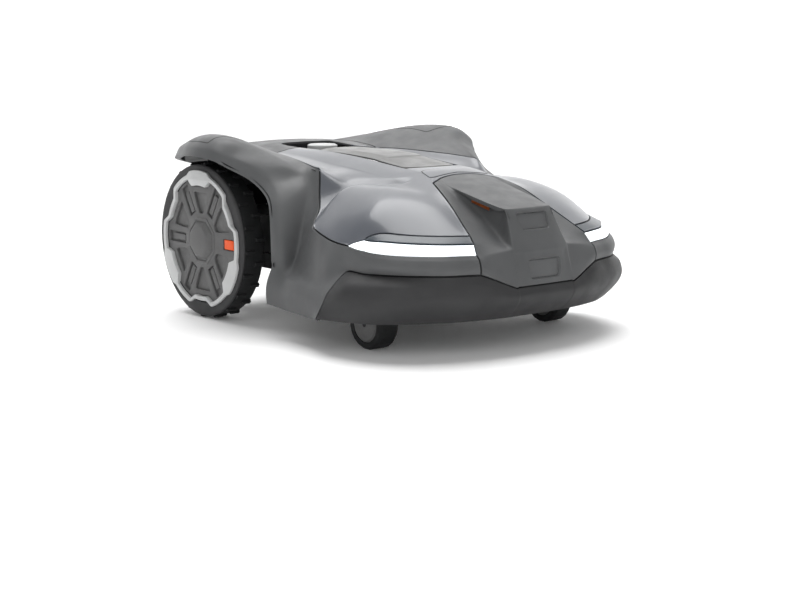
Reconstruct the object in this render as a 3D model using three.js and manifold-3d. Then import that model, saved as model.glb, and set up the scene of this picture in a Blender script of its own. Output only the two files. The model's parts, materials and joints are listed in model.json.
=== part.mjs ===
// Robotic lawn mower, modelled as the separate pieces it is assembled from.
// Units are millimetres. +Z is up, the mower drives towards -Y, and +X is on the right when
// looking along +Y. The origin lies on the ground, in the
// middle of the machine's length and width.

import * as THREE from 'three';
import { mergeVertices } from 'three/addons/utils/BufferGeometryUtils.js';
import Module from 'manifold-3d';

const wasm = await Module();
wasm.setup();

// ---------------------------------------------------------------- driving dimensions

const FIT = 0.35; // gap between pieces that touch
const SEAM = 0.6; // half of the gap between two body panels
const PANEL = 3; // wall of the moulded panels

const WHEEL = { y: 207, z: 125, radius: 125, inner: 192, outer: 231, seat: 96, sides: 32 };
const CASTER = { x: 178, y: -166, radius: 37, width: 34, trail: 22, sides: 20 };

const TUB = { floor: 80, thick: 4, top: 104 };
const DECK = { bottom: 105, top: 165, thick: 4 };

const CUT = { y: 20, discRadius: 112, discZ: 27, discThick: 4, bladeLength: 38, travel: 40 };
const SPINDLE = { x: 0, y: 92, radius: 5 };

const HATCH = { halfWidth: 50, rear: 136, front: -86, pinY: 142, pinZ: 260, pinRadius: 2 };
const SLOT = { halfWidth: 53, rear: 233 }; // the long opening in the upper panels
const STOP = { y: 192, radius: 25, floor: 256, top: 270 };

// ---------------------------------------------------------------- panel control nets
// Each net lists rows of points on the outer surface for the +X half. Neighbouring nets share
// their border points, so every seam is written once on each side with the same numbers.

// Fender: each row runs from the upper seam, over the crown, to the arch lip and its return.
const FENDER = [
  [[106, 292, 268], [106, 303, 268], [106, 315, 265], [106, 327, 258], [106, 337, 248],
    [106, 342.5, 226], [106, 333, 224]],
  [[106, 250, 268], [135, 270, 273], [160, 288, 275], [180, 302, 272], [193, 314, 262],
    [200, 321, 245], [193, 312, 243]],
  [[106, 222, 266], [135, 229, 275], [172, 240, 284], [208, 252, 285], [229, 266, 272],
    [234, 270, 257], [225, 263, 255]],
  [[105, 180, 260], [140, 184, 274], [183, 184, 288], [230, 184, 294.5], [259, 196, 278.5],
    [266, 197, 263], [255, 195, 261]],
  [[121, 130, 260], [150, 132, 270], [184, 130, 281], [236, 122, 291], [264, 123.5, 275.5],
    [268, 123.5, 260.5], [257, 123.5, 258.5]],
  [[135, 84, 258], [152, 82, 261], [177.5, 83.5, 267.5], [207, 87.5, 274.5], [249.5, 95.5, 265],
    [254, 94, 248], [243, 92, 246]],
  [[150, 35, 255], [160.5, 35, 253.5], [174, 36, 254], [194.5, 38.5, 255.5], [224.5, 54.5, 247.5],
    [236, 65, 232.5], [225, 63, 229.5]],
  [[159.5, -1, 251.5], [167, 4.5, 246], [175, 9.5, 241], [186, 15.5, 237], [216.5, 23.5, 228],
    [234, 25.5, 211.5], [223, 26.5, 209.5]],
  [[162.5, -17, 246], [170.5, -9, 237.5], [180, -8, 229], [195, -9.5, 220], [224.5, -2.5, 209],
    [242, 2.5, 191], [232, 3.5, 191]],
  [[176.5, -35, 215.5], [184, -29.5, 205.5], [194.5, -28.5, 195], [206.5, -27, 184],
    [238, -22.5, 172.5], [247, -7, 160.5], [237, -6.5, 160.5]],
  [[189, -52, 197], [196, -45, 185], [205, -38, 167], [214, -32, 148], [240, -32, 127],
    [250, -13, 110], [241, -11, 110]],
];

// Side panel in front of the wheel: rows run from the hood seam down to the skirt's upper edge.
const SIDE = [
  [[189, -52, 197], [196, -45, 185], [205, -38, 167], [214, -32, 148], [240, -32, 127],
    [250, -13, 110]],
  [[203, -64, 186], [208, -56, 172], [212, -46, 150], [217, -36, 128], [227, -33, 110],
    [244, -38, 99]],
  [[225, -84, 172], [225, -78, 155], [226, -73, 135], [227, -66, 115], [234, -62, 101],
    [249, -64, 94]],
  [[233, -125, 162], [236, -124, 148], [239, -123, 132], [243, -122, 115], [247, -121, 101],
    [255, -110, 91]],
  [[236, -152, 158], [238, -150, 147], [241, -149, 133], [245, -148, 117], [251, -147, 102],
    [259, -145, 89]],
  [[235.5, -165, 156.7], [237, -165, 146.5], [239, -165, 133], [241, -164, 118.5],
    [250.5, -160, 104], [260.5, -155, 88.5]],
  [[235, -178, 155.5], [236, -180, 146], [237, -181, 133], [237, -180, 120], [250, -172, 106],
    [262, -165, 88]],
];

// Flared skirt under the side panel.
const SKIRT = [
  [[250, -13, 110], [253, -1, 80], [250, 2, 50]],
  [[244, -38, 99], [252, -38, 76], [250, -38, 47]],
  [[249, -64, 94], [256, -66, 74], [253, -68, 46]],
  [[255, -110, 91], [261, -108, 72], [259, -108, 46]],
  [[259, -145, 89], [265, -138, 70], [265, -134, 47]],
  [[260.5, -155, 88.5], [266.2, -148, 69.5], [269, -143, 48.5]],
  [[262, -165, 88], [267.5, -158.5, 69], [273, -152, 50]],
];

// Lip between the headlight and the bumper.
const LIP = [
  [[235, -178, 155.5], [236, -180, 146], [237, -181, 133], [237, -180, 120]],
  [[233, -208, 151.5], [236, -210, 144], [237, -210, 132], [235, -206, 120]],
  [[227, -236, 149.5], [230, -240, 143], [231, -241, 132], [226, -237, 120]],
  [[209, -264, 148], [212, -269, 142], [214, -271, 132], [209, -268, 120]],
  [[172, -296, 147], [174, -302, 141], [175, -306, 131], [172, -305, 120]],
  [[143, -308, 146.5], [144.5, -313, 140.5], [145.5, -317, 130.5], [143.5, -316, 119.6]],
  [[114.3, -316, 146], [115, -322, 140], [115.5, -326, 130], [114.5, -325, 119]],
];

// Bumper: each row runs from the upper seam down to the lower edge.
const BUMPER = [
  [[237, -180, 120], [250, -172, 106], [262, -165, 88], [267.5, -158.5, 69], [273, -152, 50]],
  [[235, -206, 120], [256, -207, 106], [264, -205, 88], [264, -199, 69], [259, -191, 50]],
  [[226, -237, 120], [240, -247, 106], [246, -250, 88], [246, -243, 69], [240, -232, 50]],
  [[209, -268, 120], [216, -281, 106], [218, -285, 88], [214, -277, 69], [206, -261, 50]],
  [[172, -305, 120], [173, -309, 107], [174, -311, 88], [169, -304, 69], [160, -288, 50]],
  [[143.5, -316, 119.6], [144, -320, 106.5], [144.5, -322, 88], [141.5, -315, 69], [136, -298, 50]],
  [[114.5, -325, 119], [114.5, -330, 106], [114.5, -331, 88], [113, -323, 69], [110, -305, 50]],
  [[59.6, -338, 97], [59.8, -340, 90], [60, -341, 82], [59.5, -333, 68], [59, -313, 50]],
  [[0, -338.5, 97], [0, -341.5, 90], [0, -342.5, 82], [0, -335, 68], [0, -314.5, 50]],
];

// Hood beside the hatch: each row runs from the slot, over the crease, to the side seam.
const HOOD = [
  [[53, 182, 267], [78, 181, 265], [92, 181, 262.5], [97, 180, 261.5], [100, 180, 261],
    [103, 180, 260.5], [105, 180, 260]],
  [[53, 130, 266.5], [72, 130, 262.5], [89, 130, 257.5], [95, 130, 256.5], [104, 130, 256.5],
    [113, 130, 258], [121, 130, 260]],
  [[53, 84, 264.5], [72, 84, 260], [90, 84, 253.5], [96, 84, 252], [110, 84, 251.5], [123, 84, 254],
    [135, 84, 258]],
  [[53, 35, 261.5], [72, 35, 256], [90, 33, 249.5], [98, 32, 247], [116, 32, 245.5], [135, 34, 249],
    [150, 35, 255]],
  [[53, -10, 257.5], [72, -11, 252.5], [91, -14, 245.5], [98, -16, 243], [120, -14, 241.5],
    [144, -9, 245], [159.5, -1, 251.5]],
  [[53, -58, 252.5], [72, -58, 247.5], [90, -58, 241], [98, -58, 237.5], [124, -46, 231],
    [150, -36, 236], [162.5, -17, 246]],
  [[53, -90, 249.5], [72, -90, 244.5], [88, -90, 238], [97, -86, 234], [125, -66, 222.5],
    [154, -50, 222], [176.5, -35, 215.5]],
  [[54, -112, 247.5], [71, -112, 242], [86, -112, 235.5], [97, -102, 230], [127, -77, 220.5],
    [160, -58, 212], [189, -52, 197]],
  [[56, -135, 244], [71, -133, 239], [84, -130, 233], [97, -114, 228.5], [125, -85, 222.5],
    [166, -63, 207], [203, -64, 186]],
  [[67, -168, 234], [90, -160, 228], [104, -128, 229.5], [123, -97, 229], [155, -72, 225],
    [192, -70, 197], [225, -84, 172]],
];

// Raised headlight pod in front of the hood's ridge, down to the light's upper edge.
const POD = [
  [[67, -168, 234], [90, -160, 228], [104, -128, 229.5], [123, -97, 229], [155, -72, 225],
    [192, -70, 197], [225, -84, 172]],
  [[79, -200, 222], [100, -190, 221.5], [118, -165, 226], [140, -135, 228], [170, -118, 217],
    [204, -108, 192], [233, -125, 162]],
  [[88, -234, 204], [111, -222, 208], [133, -204, 213], [158, -180, 216], [184, -165, 207],
    [211, -140, 186], [236, -152, 158]],
  [[97, -264, 186], [122, -254, 190], [146, -238, 194], [174, -213, 197], [198, -190, 193],
    [217, -172, 178], [235.5, -165, 156.7]],
  [[105, -291, 170], [133, -283, 171], [158, -270, 172], [187, -243, 173.5], [206, -214, 174.5],
    [221, -198, 165], [235, -178, 155.5]],
];

// Hood between the hatch and the nose.
const BROW = [
  [[0, -90, 253], [21, -90, 252.6], [36, -90, 251.6], [40, -90, 251.2], [44, -90, 250.7],
    [47, -90, 250.3], [50, -90, 249.9], [53, -90, 249.5]],
  [[0, -112, 251], [21, -112, 250.5], [37, -112, 249.4], [41, -112, 249], [45, -112, 248.6],
    [48, -112, 248.2], [51, -112, 247.9], [54, -112, 247.5]],
  [[0, -135, 247.5], [22, -135, 247], [39, -135, 245.8], [43, -135, 245.4], [47, -135, 244.9],
    [50, -135, 244.6], [53, -135, 244.3], [56, -135, 244]],
  [[0, -153, 242.5], [26, -155.2, 241.4], [45, -159.5, 239], [50, -161.4, 237.8],
    [55, -163.4, 236.7], [59, -164.9, 235.8], [63, -166.5, 234.9], [67, -168, 234]],
];

// Smoked band above the light, and the light itself: upper edge, then lower edge.
const BAND = [
  [[105, -291, 170], [133, -283, 171], [158, -270, 172], [187, -243, 173.5], [206, -214, 174.5],
    [221, -198, 165]],
  [[110.6, -306, 160], [140, -299, 161.5], [167, -287, 162.5], [200, -257, 164], [215, -230, 165],
    [221, -198, 165]],
];
const LIGHT = [
  [[110.6, -306, 160], [140, -299, 161.5], [167, -287, 162.5], [200, -257, 164], [215, -230, 165],
    [221, -198, 165], [235, -178, 155.5]],
  [[114.3, -316, 146], [143, -308, 146.5], [172, -296, 147], [209, -264, 148], [227, -236, 149.5],
    [233, -208, 151.5], [235, -178, 155.5]],
];

// Nose: rows run from the rear edge forwards over the roof, down the front, to the bumper seam.
// Across a row: middle, window edge, roof edge, roof edge underside, wall top, wall foot, apron,
// seam.
const NOSE = [
  [[0, -153, 242.5], [26, -155.2, 241.4], [45, -159.5, 239], [50, -161.4, 237.8],
    [55, -163.4, 236.7], [59, -164.9, 235.8], [63, -166.5, 234.9], [67, -168, 234]],
  [[0, -190, 234], [26, -190, 233], [50, -190, 230], [54, -191, 228], [58, -192, 226.5],
    [63, -193, 225.5], [70, -196, 224], [79, -200, 222]],
  [[0, -222, 226], [26, -222, 225], [52, -222, 221.5], [52, -222, 217], [46, -222, 216],
    [50, -224, 205], [70, -228, 204], [88, -234, 204]],
  [[0, -262, 215], [26, -262, 214.5], [50, -262, 212], [50, -262, 207], [42, -262, 206],
    [47, -262, 184], [72, -262, 184], [97, -264, 186]],
  [[0, -290, 207.5], [26, -290, 207], [46, -289, 205.5], [46, -289, 200.5], [41, -288, 199],
    [48, -290, 165], [76, -290, 167], [105, -291, 170]],
  [[0, -303, 203], [26, -302, 203], [43, -299, 203], [45, -301, 197], [46, -303, 190],
    [54, -312, 156], [80, -306, 158], [110.6, -306, 160]],
  [[0, -331, 150], [28, -330, 150], [46, -327, 150], [50, -326, 150], [53, -325, 150],
    [57, -324, 149.5], [85, -321, 147.5], [114.3, -316, 146]],
  [[0, -333, 140], [28, -332.5, 140], [42, -330, 140], [48, -329, 140], [53, -328, 140],
    [59, -327, 140], [88, -325, 140], [115, -322, 140]],
  [[0, -336.5, 120], [28, -336, 120], [41, -335, 120], [48, -334.5, 120], [53, -334, 120],
    [59, -333, 120], [88, -330, 124], [115.5, -326, 130]],
  [[0, -338.5, 97], [28, -338.4, 97], [40, -338.3, 97], [48, -338.2, 97], [54, -338.1, 97],
    [59.6, -338, 97], [87, -332, 108], [114.5, -325, 119]],
];

// Rear cover: rows run from its lower edge up the back and forwards to the slot.
const REAR = [
  [[0, 330, 92], [28, 330, 92], [60, 330, 92], [100, 329, 92], [144, 320, 92]],
  [[0, 338, 130], [28, 338, 130], [60, 338, 130], [100, 337, 130], [146, 326, 130]],
  [[0, 341, 175], [28, 341, 175], [60, 341, 175], [100, 340, 175], [146, 328, 175]],
  [[0, 342, 206], [28, 342, 206], [60, 342, 206], [100, 341, 206], [143, 330, 204]],
  [[0, 342.5, 226], [28, 342.5, 226], [53, 342.5, 226], [80, 342.5, 226], [106, 342.5, 226]],
  [[0, 338, 248], [28, 338, 248], [53, 338, 248], [80, 337.5, 248], [106, 337, 248]],
  [[0, 329, 261], [28, 329, 261], [53, 328, 260], [80, 327.5, 259], [106, 327, 258]],
  [[0, 316, 269], [28, 316, 269], [53, 315, 268], [80, 315, 267], [106, 315, 265]],
  [[0, 303, 272], [28, 303, 272], [53, 303, 271], [80, 303, 270], [106, 303, 268]],
  [[0, 292, 273], [28, 292, 272.5], [53, 292, 271.5], [80, 292, 270], [106, 292, 268]],
  [[0, 250, 273], [28, 250, 272.5], [53, 250, 271.5], [80, 250, 270], [106, 250, 268]],
];
const REAR_BRIDGE = [
  [[0, 250, 273], [28, 250, 272.5], [53, 250, 271.5]],
  [[0, 233, 272.5], [28, 233, 272], [53, 233, 270.5]],
];
const REAR_ARM = [
  [[53, 250, 271.5], [80, 250, 270], [106, 250, 268]],
  [[53, 233, 270.5], [80, 228, 269], [106, 222, 266]],
  [[53, 182, 267], [78, 181, 265], [105, 180, 260]],
];

// Hatch lid.
const LID = [
  [[0, 136, 268], [25, 135.5, 267.5], [44, 134, 266], [50, 131, 265]],
  [[0, 60, 266.5], [25, 60, 265.8], [44, 60, 263.8], [50, 60, 263]],
  [[0, -5, 263.5], [25, -5, 262.7], [44, -5, 260], [50, -5, 258.5]],
  [[0, -30, 260], [25, -30, 259], [44, -28, 257], [50, -28, 255.8]],
  [[0, -86, 254], [25, -86, 253.3], [43, -85, 251], [50, -80, 250.3]],
];

// Blank plate in front of the hatch, and the square cap on each fender.
const PLATE = [
  [[0, -118, 251], [30, -118, 250], [50, -119, 248.2]],
  [[0, -132, 249], [32, -132, 248], [56, -131, 245.5]],
  [[0, -147, 245], [34, -149, 243.6], [61, -155, 239.6]],
];
const CAP = [
  [[180, 215.5, 286], [218, 221.5, 289.3], [236.5, 231.5, 278.4]],
  [[186.5, 184, 288.5], [230, 184, 294.5], [252, 193, 282.3]],
  [[187.5, 143, 283.4], [234.5, 137.5, 291.9], [256, 140.5, 280]],
];

// ---------------------------------------------------------------- materials

function material(color, roughness, metalness = 0) {
  return new THREE.MeshStandardMaterial({ color, roughness, metalness });
}

const bodyGrey = () => material(0x5c5d5d, 0.62);
const bumperGrey = () => material(0x3f4040, 0.7);
const hoodGloss = () => material(0x66696e, 0.22);
const hatchGrey = () => material(0x777674, 0.6);
const smoked = () => material(0x2c333a, 0.15);
const lightWhite = () => material(0xf4fbff, 0.2);
const darkPlastic = () => material(0x1d1e1f, 0.75);
const coverGrey = () => material(0x646464, 0.55);
const accentGrey = () => material(0xbdbebe, 0.45);
const orange = () => material(0xe4571f, 0.5);
const tyreRubber = () => material(0x1b1c1d, 0.9);
const steel = () => material(0xa5a8ab, 0.35, 1);
const copper = () => material(0xb8683f, 0.35, 1);
const motorBlack = () => material(0x2a2c2e, 0.5, 0.6);
const boardGreen = () => material(0x1f5a3a, 0.5);

// ---------------------------------------------------------------- solids

// A closed three.js geometry as a solid for joining and cutting.
function toSolid(geometry) {
  const bare = geometry.clone();
  bare.deleteAttribute('normal');
  bare.deleteAttribute('uv');
  const merged = mergeVertices(bare, 1e-4);
  return new wasm.Manifold(new wasm.Mesh({
    numProp: 3,
    vertProperties: new Float32Array(merged.attributes.position.array),
    triVerts: new Uint32Array(merged.index.array),
  }));
}

function toGeometry(solid) {
  const mesh = solid.getMesh();
  const geometry = new THREE.BufferGeometry();
  geometry.setAttribute('position', new THREE.BufferAttribute(mesh.vertProperties, 3));
  geometry.setIndex(new THREE.BufferAttribute(mesh.triVerts, 1));
  geometry.computeVertexNormals();
  return geometry;
}

function cut(geometry, ...tools) {
  return toGeometry(tools.reduce((solid, tool) => solid.subtract(toSolid(tool)), toSolid(geometry)));
}

function join(geometry, ...others) {
  return toGeometry(others.reduce((solid, other) => solid.add(toSolid(other)), toSolid(geometry)));
}

// A box between two opposite corners.
function block(low, high) {
  const size = high.map((value, axis) => value - low[axis]);
  const middle = high.map((value, axis) => (value + low[axis]) / 2);
  return new THREE.BoxGeometry(...size).translate(...middle);
}

// A solid turned about the vertical axis through (x, y). The profile is [radius, z] pairs.
function turnedZ(profile, x, y, sides) {
  const points = profile.map(([radius, z]) => new THREE.Vector2(radius, z));
  const geometry = new THREE.LatheGeometry(points, sides);
  return geometry.rotateX(Math.PI / 2).rotateZ(Math.PI / sides).translate(x, y, 0);
}

// A solid turned about an axis along X through (y, z). The profile is [radius, x] pairs.
// A flat side faces the ground.
function turnedX(profile, y, z, sides) {
  const points = profile.map(([radius, x]) => new THREE.Vector2(radius, x));
  const geometry = new THREE.LatheGeometry(points, sides);
  return geometry.rotateZ(-Math.PI / 2).rotateX(Math.PI / sides).translate(0, y, z);
}

// The profile of a ring: closed on itself.
function ring(inner, outer, low, high) {
  return [[inner, low], [outer, low], [outer, high], [inner, high], [inner, low]];
}

// The profile of a solid rod: from axis to axis.
function rod(radius, low, high) {
  return [[0, low], [radius, low], [radius, high], [0, high]];
}

// A flat outline in plan, extruded upwards.
function slab(outline, low, high) {
  const shape = new THREE.Shape(outline.map(([x, y]) => new THREE.Vector2(x, y)));
  const geometry = new THREE.ExtrudeGeometry(shape, { depth: high - low, bevelEnabled: false });
  return geometry.translate(0, 0, low);
}

// Both halves of a plan outline that is given for +X, from the front to the back.
function bothSides(half) {
  const other = half.map(([x, y]) => [-x, y]).reverse();
  return [...half, ...other].filter(([x, y], at, all) => at === 0 || x !== all[at - 1][0]
    || y !== all[at - 1][1]);
}

// ---------------------------------------------------------------- body panels

const key = (point) => point.map((value) => value.toFixed(2)).join(',');
const mirrorRow = (row) => row.map(([x, y, z]) => [-x, y, z]);

// The triangles of a net, facing out. Points that coincide leave no empty triangle.
function netTriangles(net, mirrored) {
  const rows = mirrored ? net.map(mirrorRow) : net;
  const triangles = [];
  for (let i = 0; i + 1 < rows.length; i += 1) {
    for (let j = 0; j + 1 < rows[i].length; j += 1) {
      const corners = [rows[i][j], rows[i + 1][j], rows[i + 1][j + 1], rows[i][j + 1]];
      for (const [a, b, c] of [[0, 1, 2], [0, 2, 3]]) {
        const triangle = [corners[a], corners[b], corners[c]];
        if (new Set(triangle.map(key)).size === 3) {
          triangles.push(mirrored ? triangle.reverse() : triangle);
        }
      }
    }
  }
  return triangles;
}

const bothHalves = (nets) => nets.flatMap((net) => [
  ...netTriangles(net, false), ...netTriangles(net, true)]);
const oneHalf = (nets, mirrored) => nets.flatMap((net) => netTriangles(net, mirrored));

function faceNormal([a, b, c]) {
  const [pa, pb, pc] = [a, b, c].map((point) => new THREE.Vector3(...point));
  return pb.sub(pa).cross(pc.sub(pa));
}

// One outward normal for every point of the whole skin, so that two panels that meet at a seam
// have walls that lean the same way.
function pointNormals(triangles) {
  const normals = new Map();
  for (const triangle of triangles) {
    const normal = faceNormal(triangle);
    for (const point of triangle) {
      const sum = normals.get(key(point)) ?? new THREE.Vector3();
      normals.set(key(point), sum.add(normal));
    }
  }
  for (const normal of normals.values()) normal.normalize();
  return normals;
}

const skinNormals = pointNormals(bothHalves([FENDER, SIDE, SKIRT, LIP, BUMPER, HOOD, POD, BROW,
  BAND, LIGHT, NOSE, REAR, REAR_BRIDGE, REAR_ARM]));

// Edges that belong to one triangle only, as directed pairs of point keys.
function openEdges(triangles) {
  const edges = new Map();
  for (const triangle of triangles) {
    triangle.forEach((point, at) => {
      const next = triangle[(at + 1) % 3];
      edges.set(`${key(point)}|${key(next)}`, [point, next]);
    });
  }
  return [...edges.values()].filter(([a, b]) => !edges.has(`${key(b)}|${key(a)}`));
}

// The points of a panel, with its border pulled back from the seam by a small gap.
function seamedPoints(triangles, gap) {
  const middle = new Map();
  for (const [a, b] of openEdges(triangles)) {
    const owner = triangles.find((triangle) => triangle.some((p) => key(p) === key(a))
      && triangle.some((p) => key(p) === key(b)));
    const normal = faceNormal(owner).normalize();
    const along = new THREE.Vector3(...b).sub(new THREE.Vector3(...a)).normalize();
    const inward = normal.cross(along);
    for (const point of [a, b]) {
      const sum = middle.get(key(point)) ?? new THREE.Vector3();
      middle.set(key(point), sum.add(inward));
    }
  }
  const moved = new Map();
  for (const point of triangles.flat()) {
    const inward = middle.get(key(point));
    const place = new THREE.Vector3(...point);
    moved.set(key(point), inward && gap ? place.addScaledVector(inward.normalize(), gap) : place);
  }
  return moved;
}

// A panel of even wall: the outer skin, the same skin set back, and a rim around every opening.
function panel(triangles, { wall = PANEL, gap = SEAM, lift = 0, normals = skinNormals } = {}) {
  const places = seamedPoints(triangles, gap);
  const outer = (point) => places.get(key(point)).clone()
    .addScaledVector(normals.get(key(point)), lift);
  const inner = (point) => places.get(key(point)).clone()
    .addScaledVector(normals.get(key(point)), lift - wall);
  const faces = triangles.flatMap((triangle) => [
    triangle.map(outer), triangle.map(inner).reverse()]);
  for (const [a, b] of openEdges(triangles)) {
    faces.push([outer(b), outer(a), inner(a)], [outer(b), inner(a), inner(b)]);
  }
  const positions = faces.flat().flatMap((point) => point.toArray());
  const geometry = new THREE.BufferGeometry();
  geometry.setAttribute('position', new THREE.Float32BufferAttribute(positions, 3));
  const merged = mergeVertices(geometry, 1e-4);
  merged.computeVertexNormals();
  return merged;
}

// A panel that lies on its own and shares no seam.
function loosePanel(triangles, options) {
  return panel(triangles, { gap: 0, normals: pointNormals(triangles), ...options });
}

// ---------------------------------------------------------------- scene

const mower = new THREE.Group();

function place(name, geometry, look, parent = mower) {
  const mesh = new THREE.Mesh(geometry, look);
  mesh.name = name;
  parent.add(mesh);
  return mesh;
}

const SIDES = [['left', -1], ['right', 1]];
const flip = (geometry, side) => {
  if (side > 0) return geometry;
  return toGeometry(toSolid(geometry).mirror([1, 0, 0]));
};

// ---------------------------------------------------------------- outer body

function outerBody() {
  for (const [side, sign] of SIDES) {
    place(`body_side_${side}`, panel(oneHalf([FENDER, SIDE, SKIRT, LIP], sign < 0)), bodyGrey());
    place(`headlight_${side}`, panel(oneHalf([LIGHT], sign < 0)), lightWhite());
    place(`headlight_trim_${side}`, panel(oneHalf([BAND], sign < 0)), smoked());
    place(`fender_cap_${side}`, loosePanel(oneHalf([CAP], sign < 0), { wall: 1.2, lift: 2.6 }),
      bodyGrey());
  }
  place('top_hood', panel(bothHalves([HOOD, POD, BROW])), hoodGloss());
  place('nameplate', loosePanel(bothHalves([PLATE]), { wall: 1, lift: 1.6 }), hoodGloss());
  place('front_bumper', panel(bothHalves([BUMPER]), { wall: 4 }), bumperGrey());
}

function noseHousing() {
  const upperWindow = block([-34, -345, 174], [34, -296, 199]);
  const lowerWindow = block([-31, -350, 107], [31, -320, 135]);
  place('nose_housing', cut(panel(bothHalves([NOSE])), upperWindow, lowerWindow), bodyGrey());
  const leaning = new THREE.BoxGeometry(62, 4, 21).rotateX(-0.49).translate(0, -308.6, 187);
  place('radar_window', leaning, smoked());
  const upright = new THREE.BoxGeometry(56, 4, 24).rotateX(-0.17).translate(0, -333.2, 121);
  place('sensor_window', upright, coverGrey());
  for (const [side, sign] of SIDES) {
    const strip = new THREE.BoxGeometry(1.4, 38, 4.4).rotateX(0.24);
    place(`charging_contact_${side}`, strip.translate(sign * 47.9, -250, 206.7), copper());
  }
}

function rearCover() {
  const grip = block([-85, 300, 125], [85, 360, 185]);
  place('rear_cover', cut(panel(bothHalves([REAR, REAR_BRIDGE, REAR_ARM])), grip), bodyGrey());
}

// A tray that hangs in the slot: a floor with a rim.
function tray(halfWidth, front, rear, floor, rim) {
  const wall = 2;
  const outside = block([-halfWidth, front, floor], [halfWidth, rear, rim]);
  const inside = block([-halfWidth + wall, front + wall, floor + wall],
    [halfWidth - wall, rear - wall, rim + 1]);
  return cut(outside, inside);
}

function controls() {
  const panelFloor = 228;
  const keyTop = 236;
  const keys = { start: 12, park: -24 };
  const wells = Object.values(keys).map((y) => block([-15, y - 9, panelFloor - 1],
    [15, y + 9, panelFloor + 3]));
  const stopTray = tray(51, 150, 231, STOP.floor - 2, STOP.floor + 6);
  const riser = block([-48, 144, 236], [48, 152, 255]);
  const keyTray = tray(48, -82, 146, panelFloor, 240);
  const well = turnedZ(rod(7, STOP.floor - 4, STOP.floor + 4), 0, STOP.y, 16);
  place('control_panel', cut(join(keyTray, riser, stopTray), ...wells, well), darkPlastic());
  for (const [name, y] of Object.entries(keys)) {
    const cap = block([-14, y - 8, panelFloor - 2], [14, y + 8, keyTop]);
    place(`${name}_button`, cap, name === 'start' ? accentGrey() : coverGrey());
  }
  const stem = [[0, STOP.floor - 8], [6.6, STOP.floor - 8], [6.6, STOP.floor + 5],
    [STOP.radius, STOP.floor + 5], [STOP.radius, STOP.top - 2], [STOP.radius - 3, STOP.top],
    [0, STOP.top]];
  place('stop_button', turnedZ(stem, 0, STOP.y, 28), accentGrey());
}

function hatch() {
  const lid = loosePanel(bothHalves([LID]), { wall: 2.5 });
  const eye = (x) => turnedX(ring(HATCH.pinRadius + 0.08, 4.2, x - 6, x + 6), HATCH.pinY,
    HATCH.pinZ, 16);
  const arm = (x) => cut(block([x - 6, 126, 258.5], [x + 6, HATCH.pinY, 264]),
    turnedX(rod(4, x - 7, x + 7), HATCH.pinY, HATCH.pinZ, 16));
  place('hatch', join(lid, arm(-30), arm(30), eye(-30), eye(30)), hatchGrey());
  place('hatch_pin', turnedX(rod(HATCH.pinRadius, -46, 46), HATCH.pinY, HATCH.pinZ, 16), steel());
}

// ---------------------------------------------------------------- chassis

const TUB_OUTLINE = [[0, -240], [120, -240], [190, -225], [212, -195], [212, -120], [150, -60],
  [150, 300], [0, 300]];
const DECK_OUTLINE = [[0, -225], [110, -225], [165, -185], [185, -140], [185, -100], [148, -60],
  [148, 298], [0, 298]];

// The same outline drawn smaller towards the middle of the machine.
const inset = (outline, by) => outline.map(([x, y]) => [Math.max(0, x - by),
  y < 0 && y < -200 ? y + by : y > 200 ? y - by : y]);

function chassis() {
  const bore = turnedZ(rod(48, 60, 90), 0, CUT.y, 32);
  const spindleHole = turnedZ(rod(SPINDLE.radius + 1, 60, 90), SPINDLE.x, SPINDLE.y, 12);
  const tubInside = slab(bothSides(inset(TUB_OUTLINE, TUB.thick)), TUB.floor + TUB.thick, 130);
  const stems = SIDES.map(([, sign]) => turnedZ(rod(8.2, 70, 95), sign * CASTER.x,
    CASTER.y - CASTER.trail, 16));
  const tub = slab(bothSides(TUB_OUTLINE), TUB.floor, TUB.top);
  place('chassis_tub', cut(tub, tubInside, bore, spindleHole, ...stems), darkPlastic());

  const deckInside = slab(bothSides(inset(DECK_OUTLINE, DECK.thick)), 100, DECK.top - DECK.thick);
  const shafts = turnedX(rod(12, -160, 160), WHEEL.y, WHEEL.z, 20);
  const deck = slab(bothSides(DECK_OUTLINE), DECK.bottom, DECK.top);
  place('chassis_deck', cut(deck, deckInside, shafts), darkPlastic());

  const gripPath = new THREE.CatmullRomCurve3([[-66, 299, 150], [-66, 316, 150], [-54, 323, 150],
    [54, 323, 150], [66, 316, 150], [66, 299, 150]].map((p) => new THREE.Vector3(...p)), false,
  'catmullrom', 0.2);
  const section = new THREE.Shape().absellipse(0, 0, 8, 6, 0, Math.PI * 2);
  const grip = new THREE.ExtrudeGeometry(section, { steps: 16, curveSegments: 6,
    extrudePath: gripPath, bevelEnabled: false });
  place('carry_handle', grip.translate(0, FIT, 0), darkPlastic());
}

function electronics() {
  const pack = join(block([-75, -190, 85], [75, -70, 128]), block([-60, -180, 127], [60, -80, 134]));
  place('battery_pack', pack, motorBlack());
  const chip = (x, y, size) => block([x - size, y - size, 141], [x + size, y + size, 146]);
  const board = join(block([-70, -195, 140], [70, -85, 142]), chip(-30, -140, 14),
    chip(28, -120, 9), chip(30, -165, 7));
  place('main_board', board, boardGreen());
}

// ---------------------------------------------------------------- drive wheels

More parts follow.
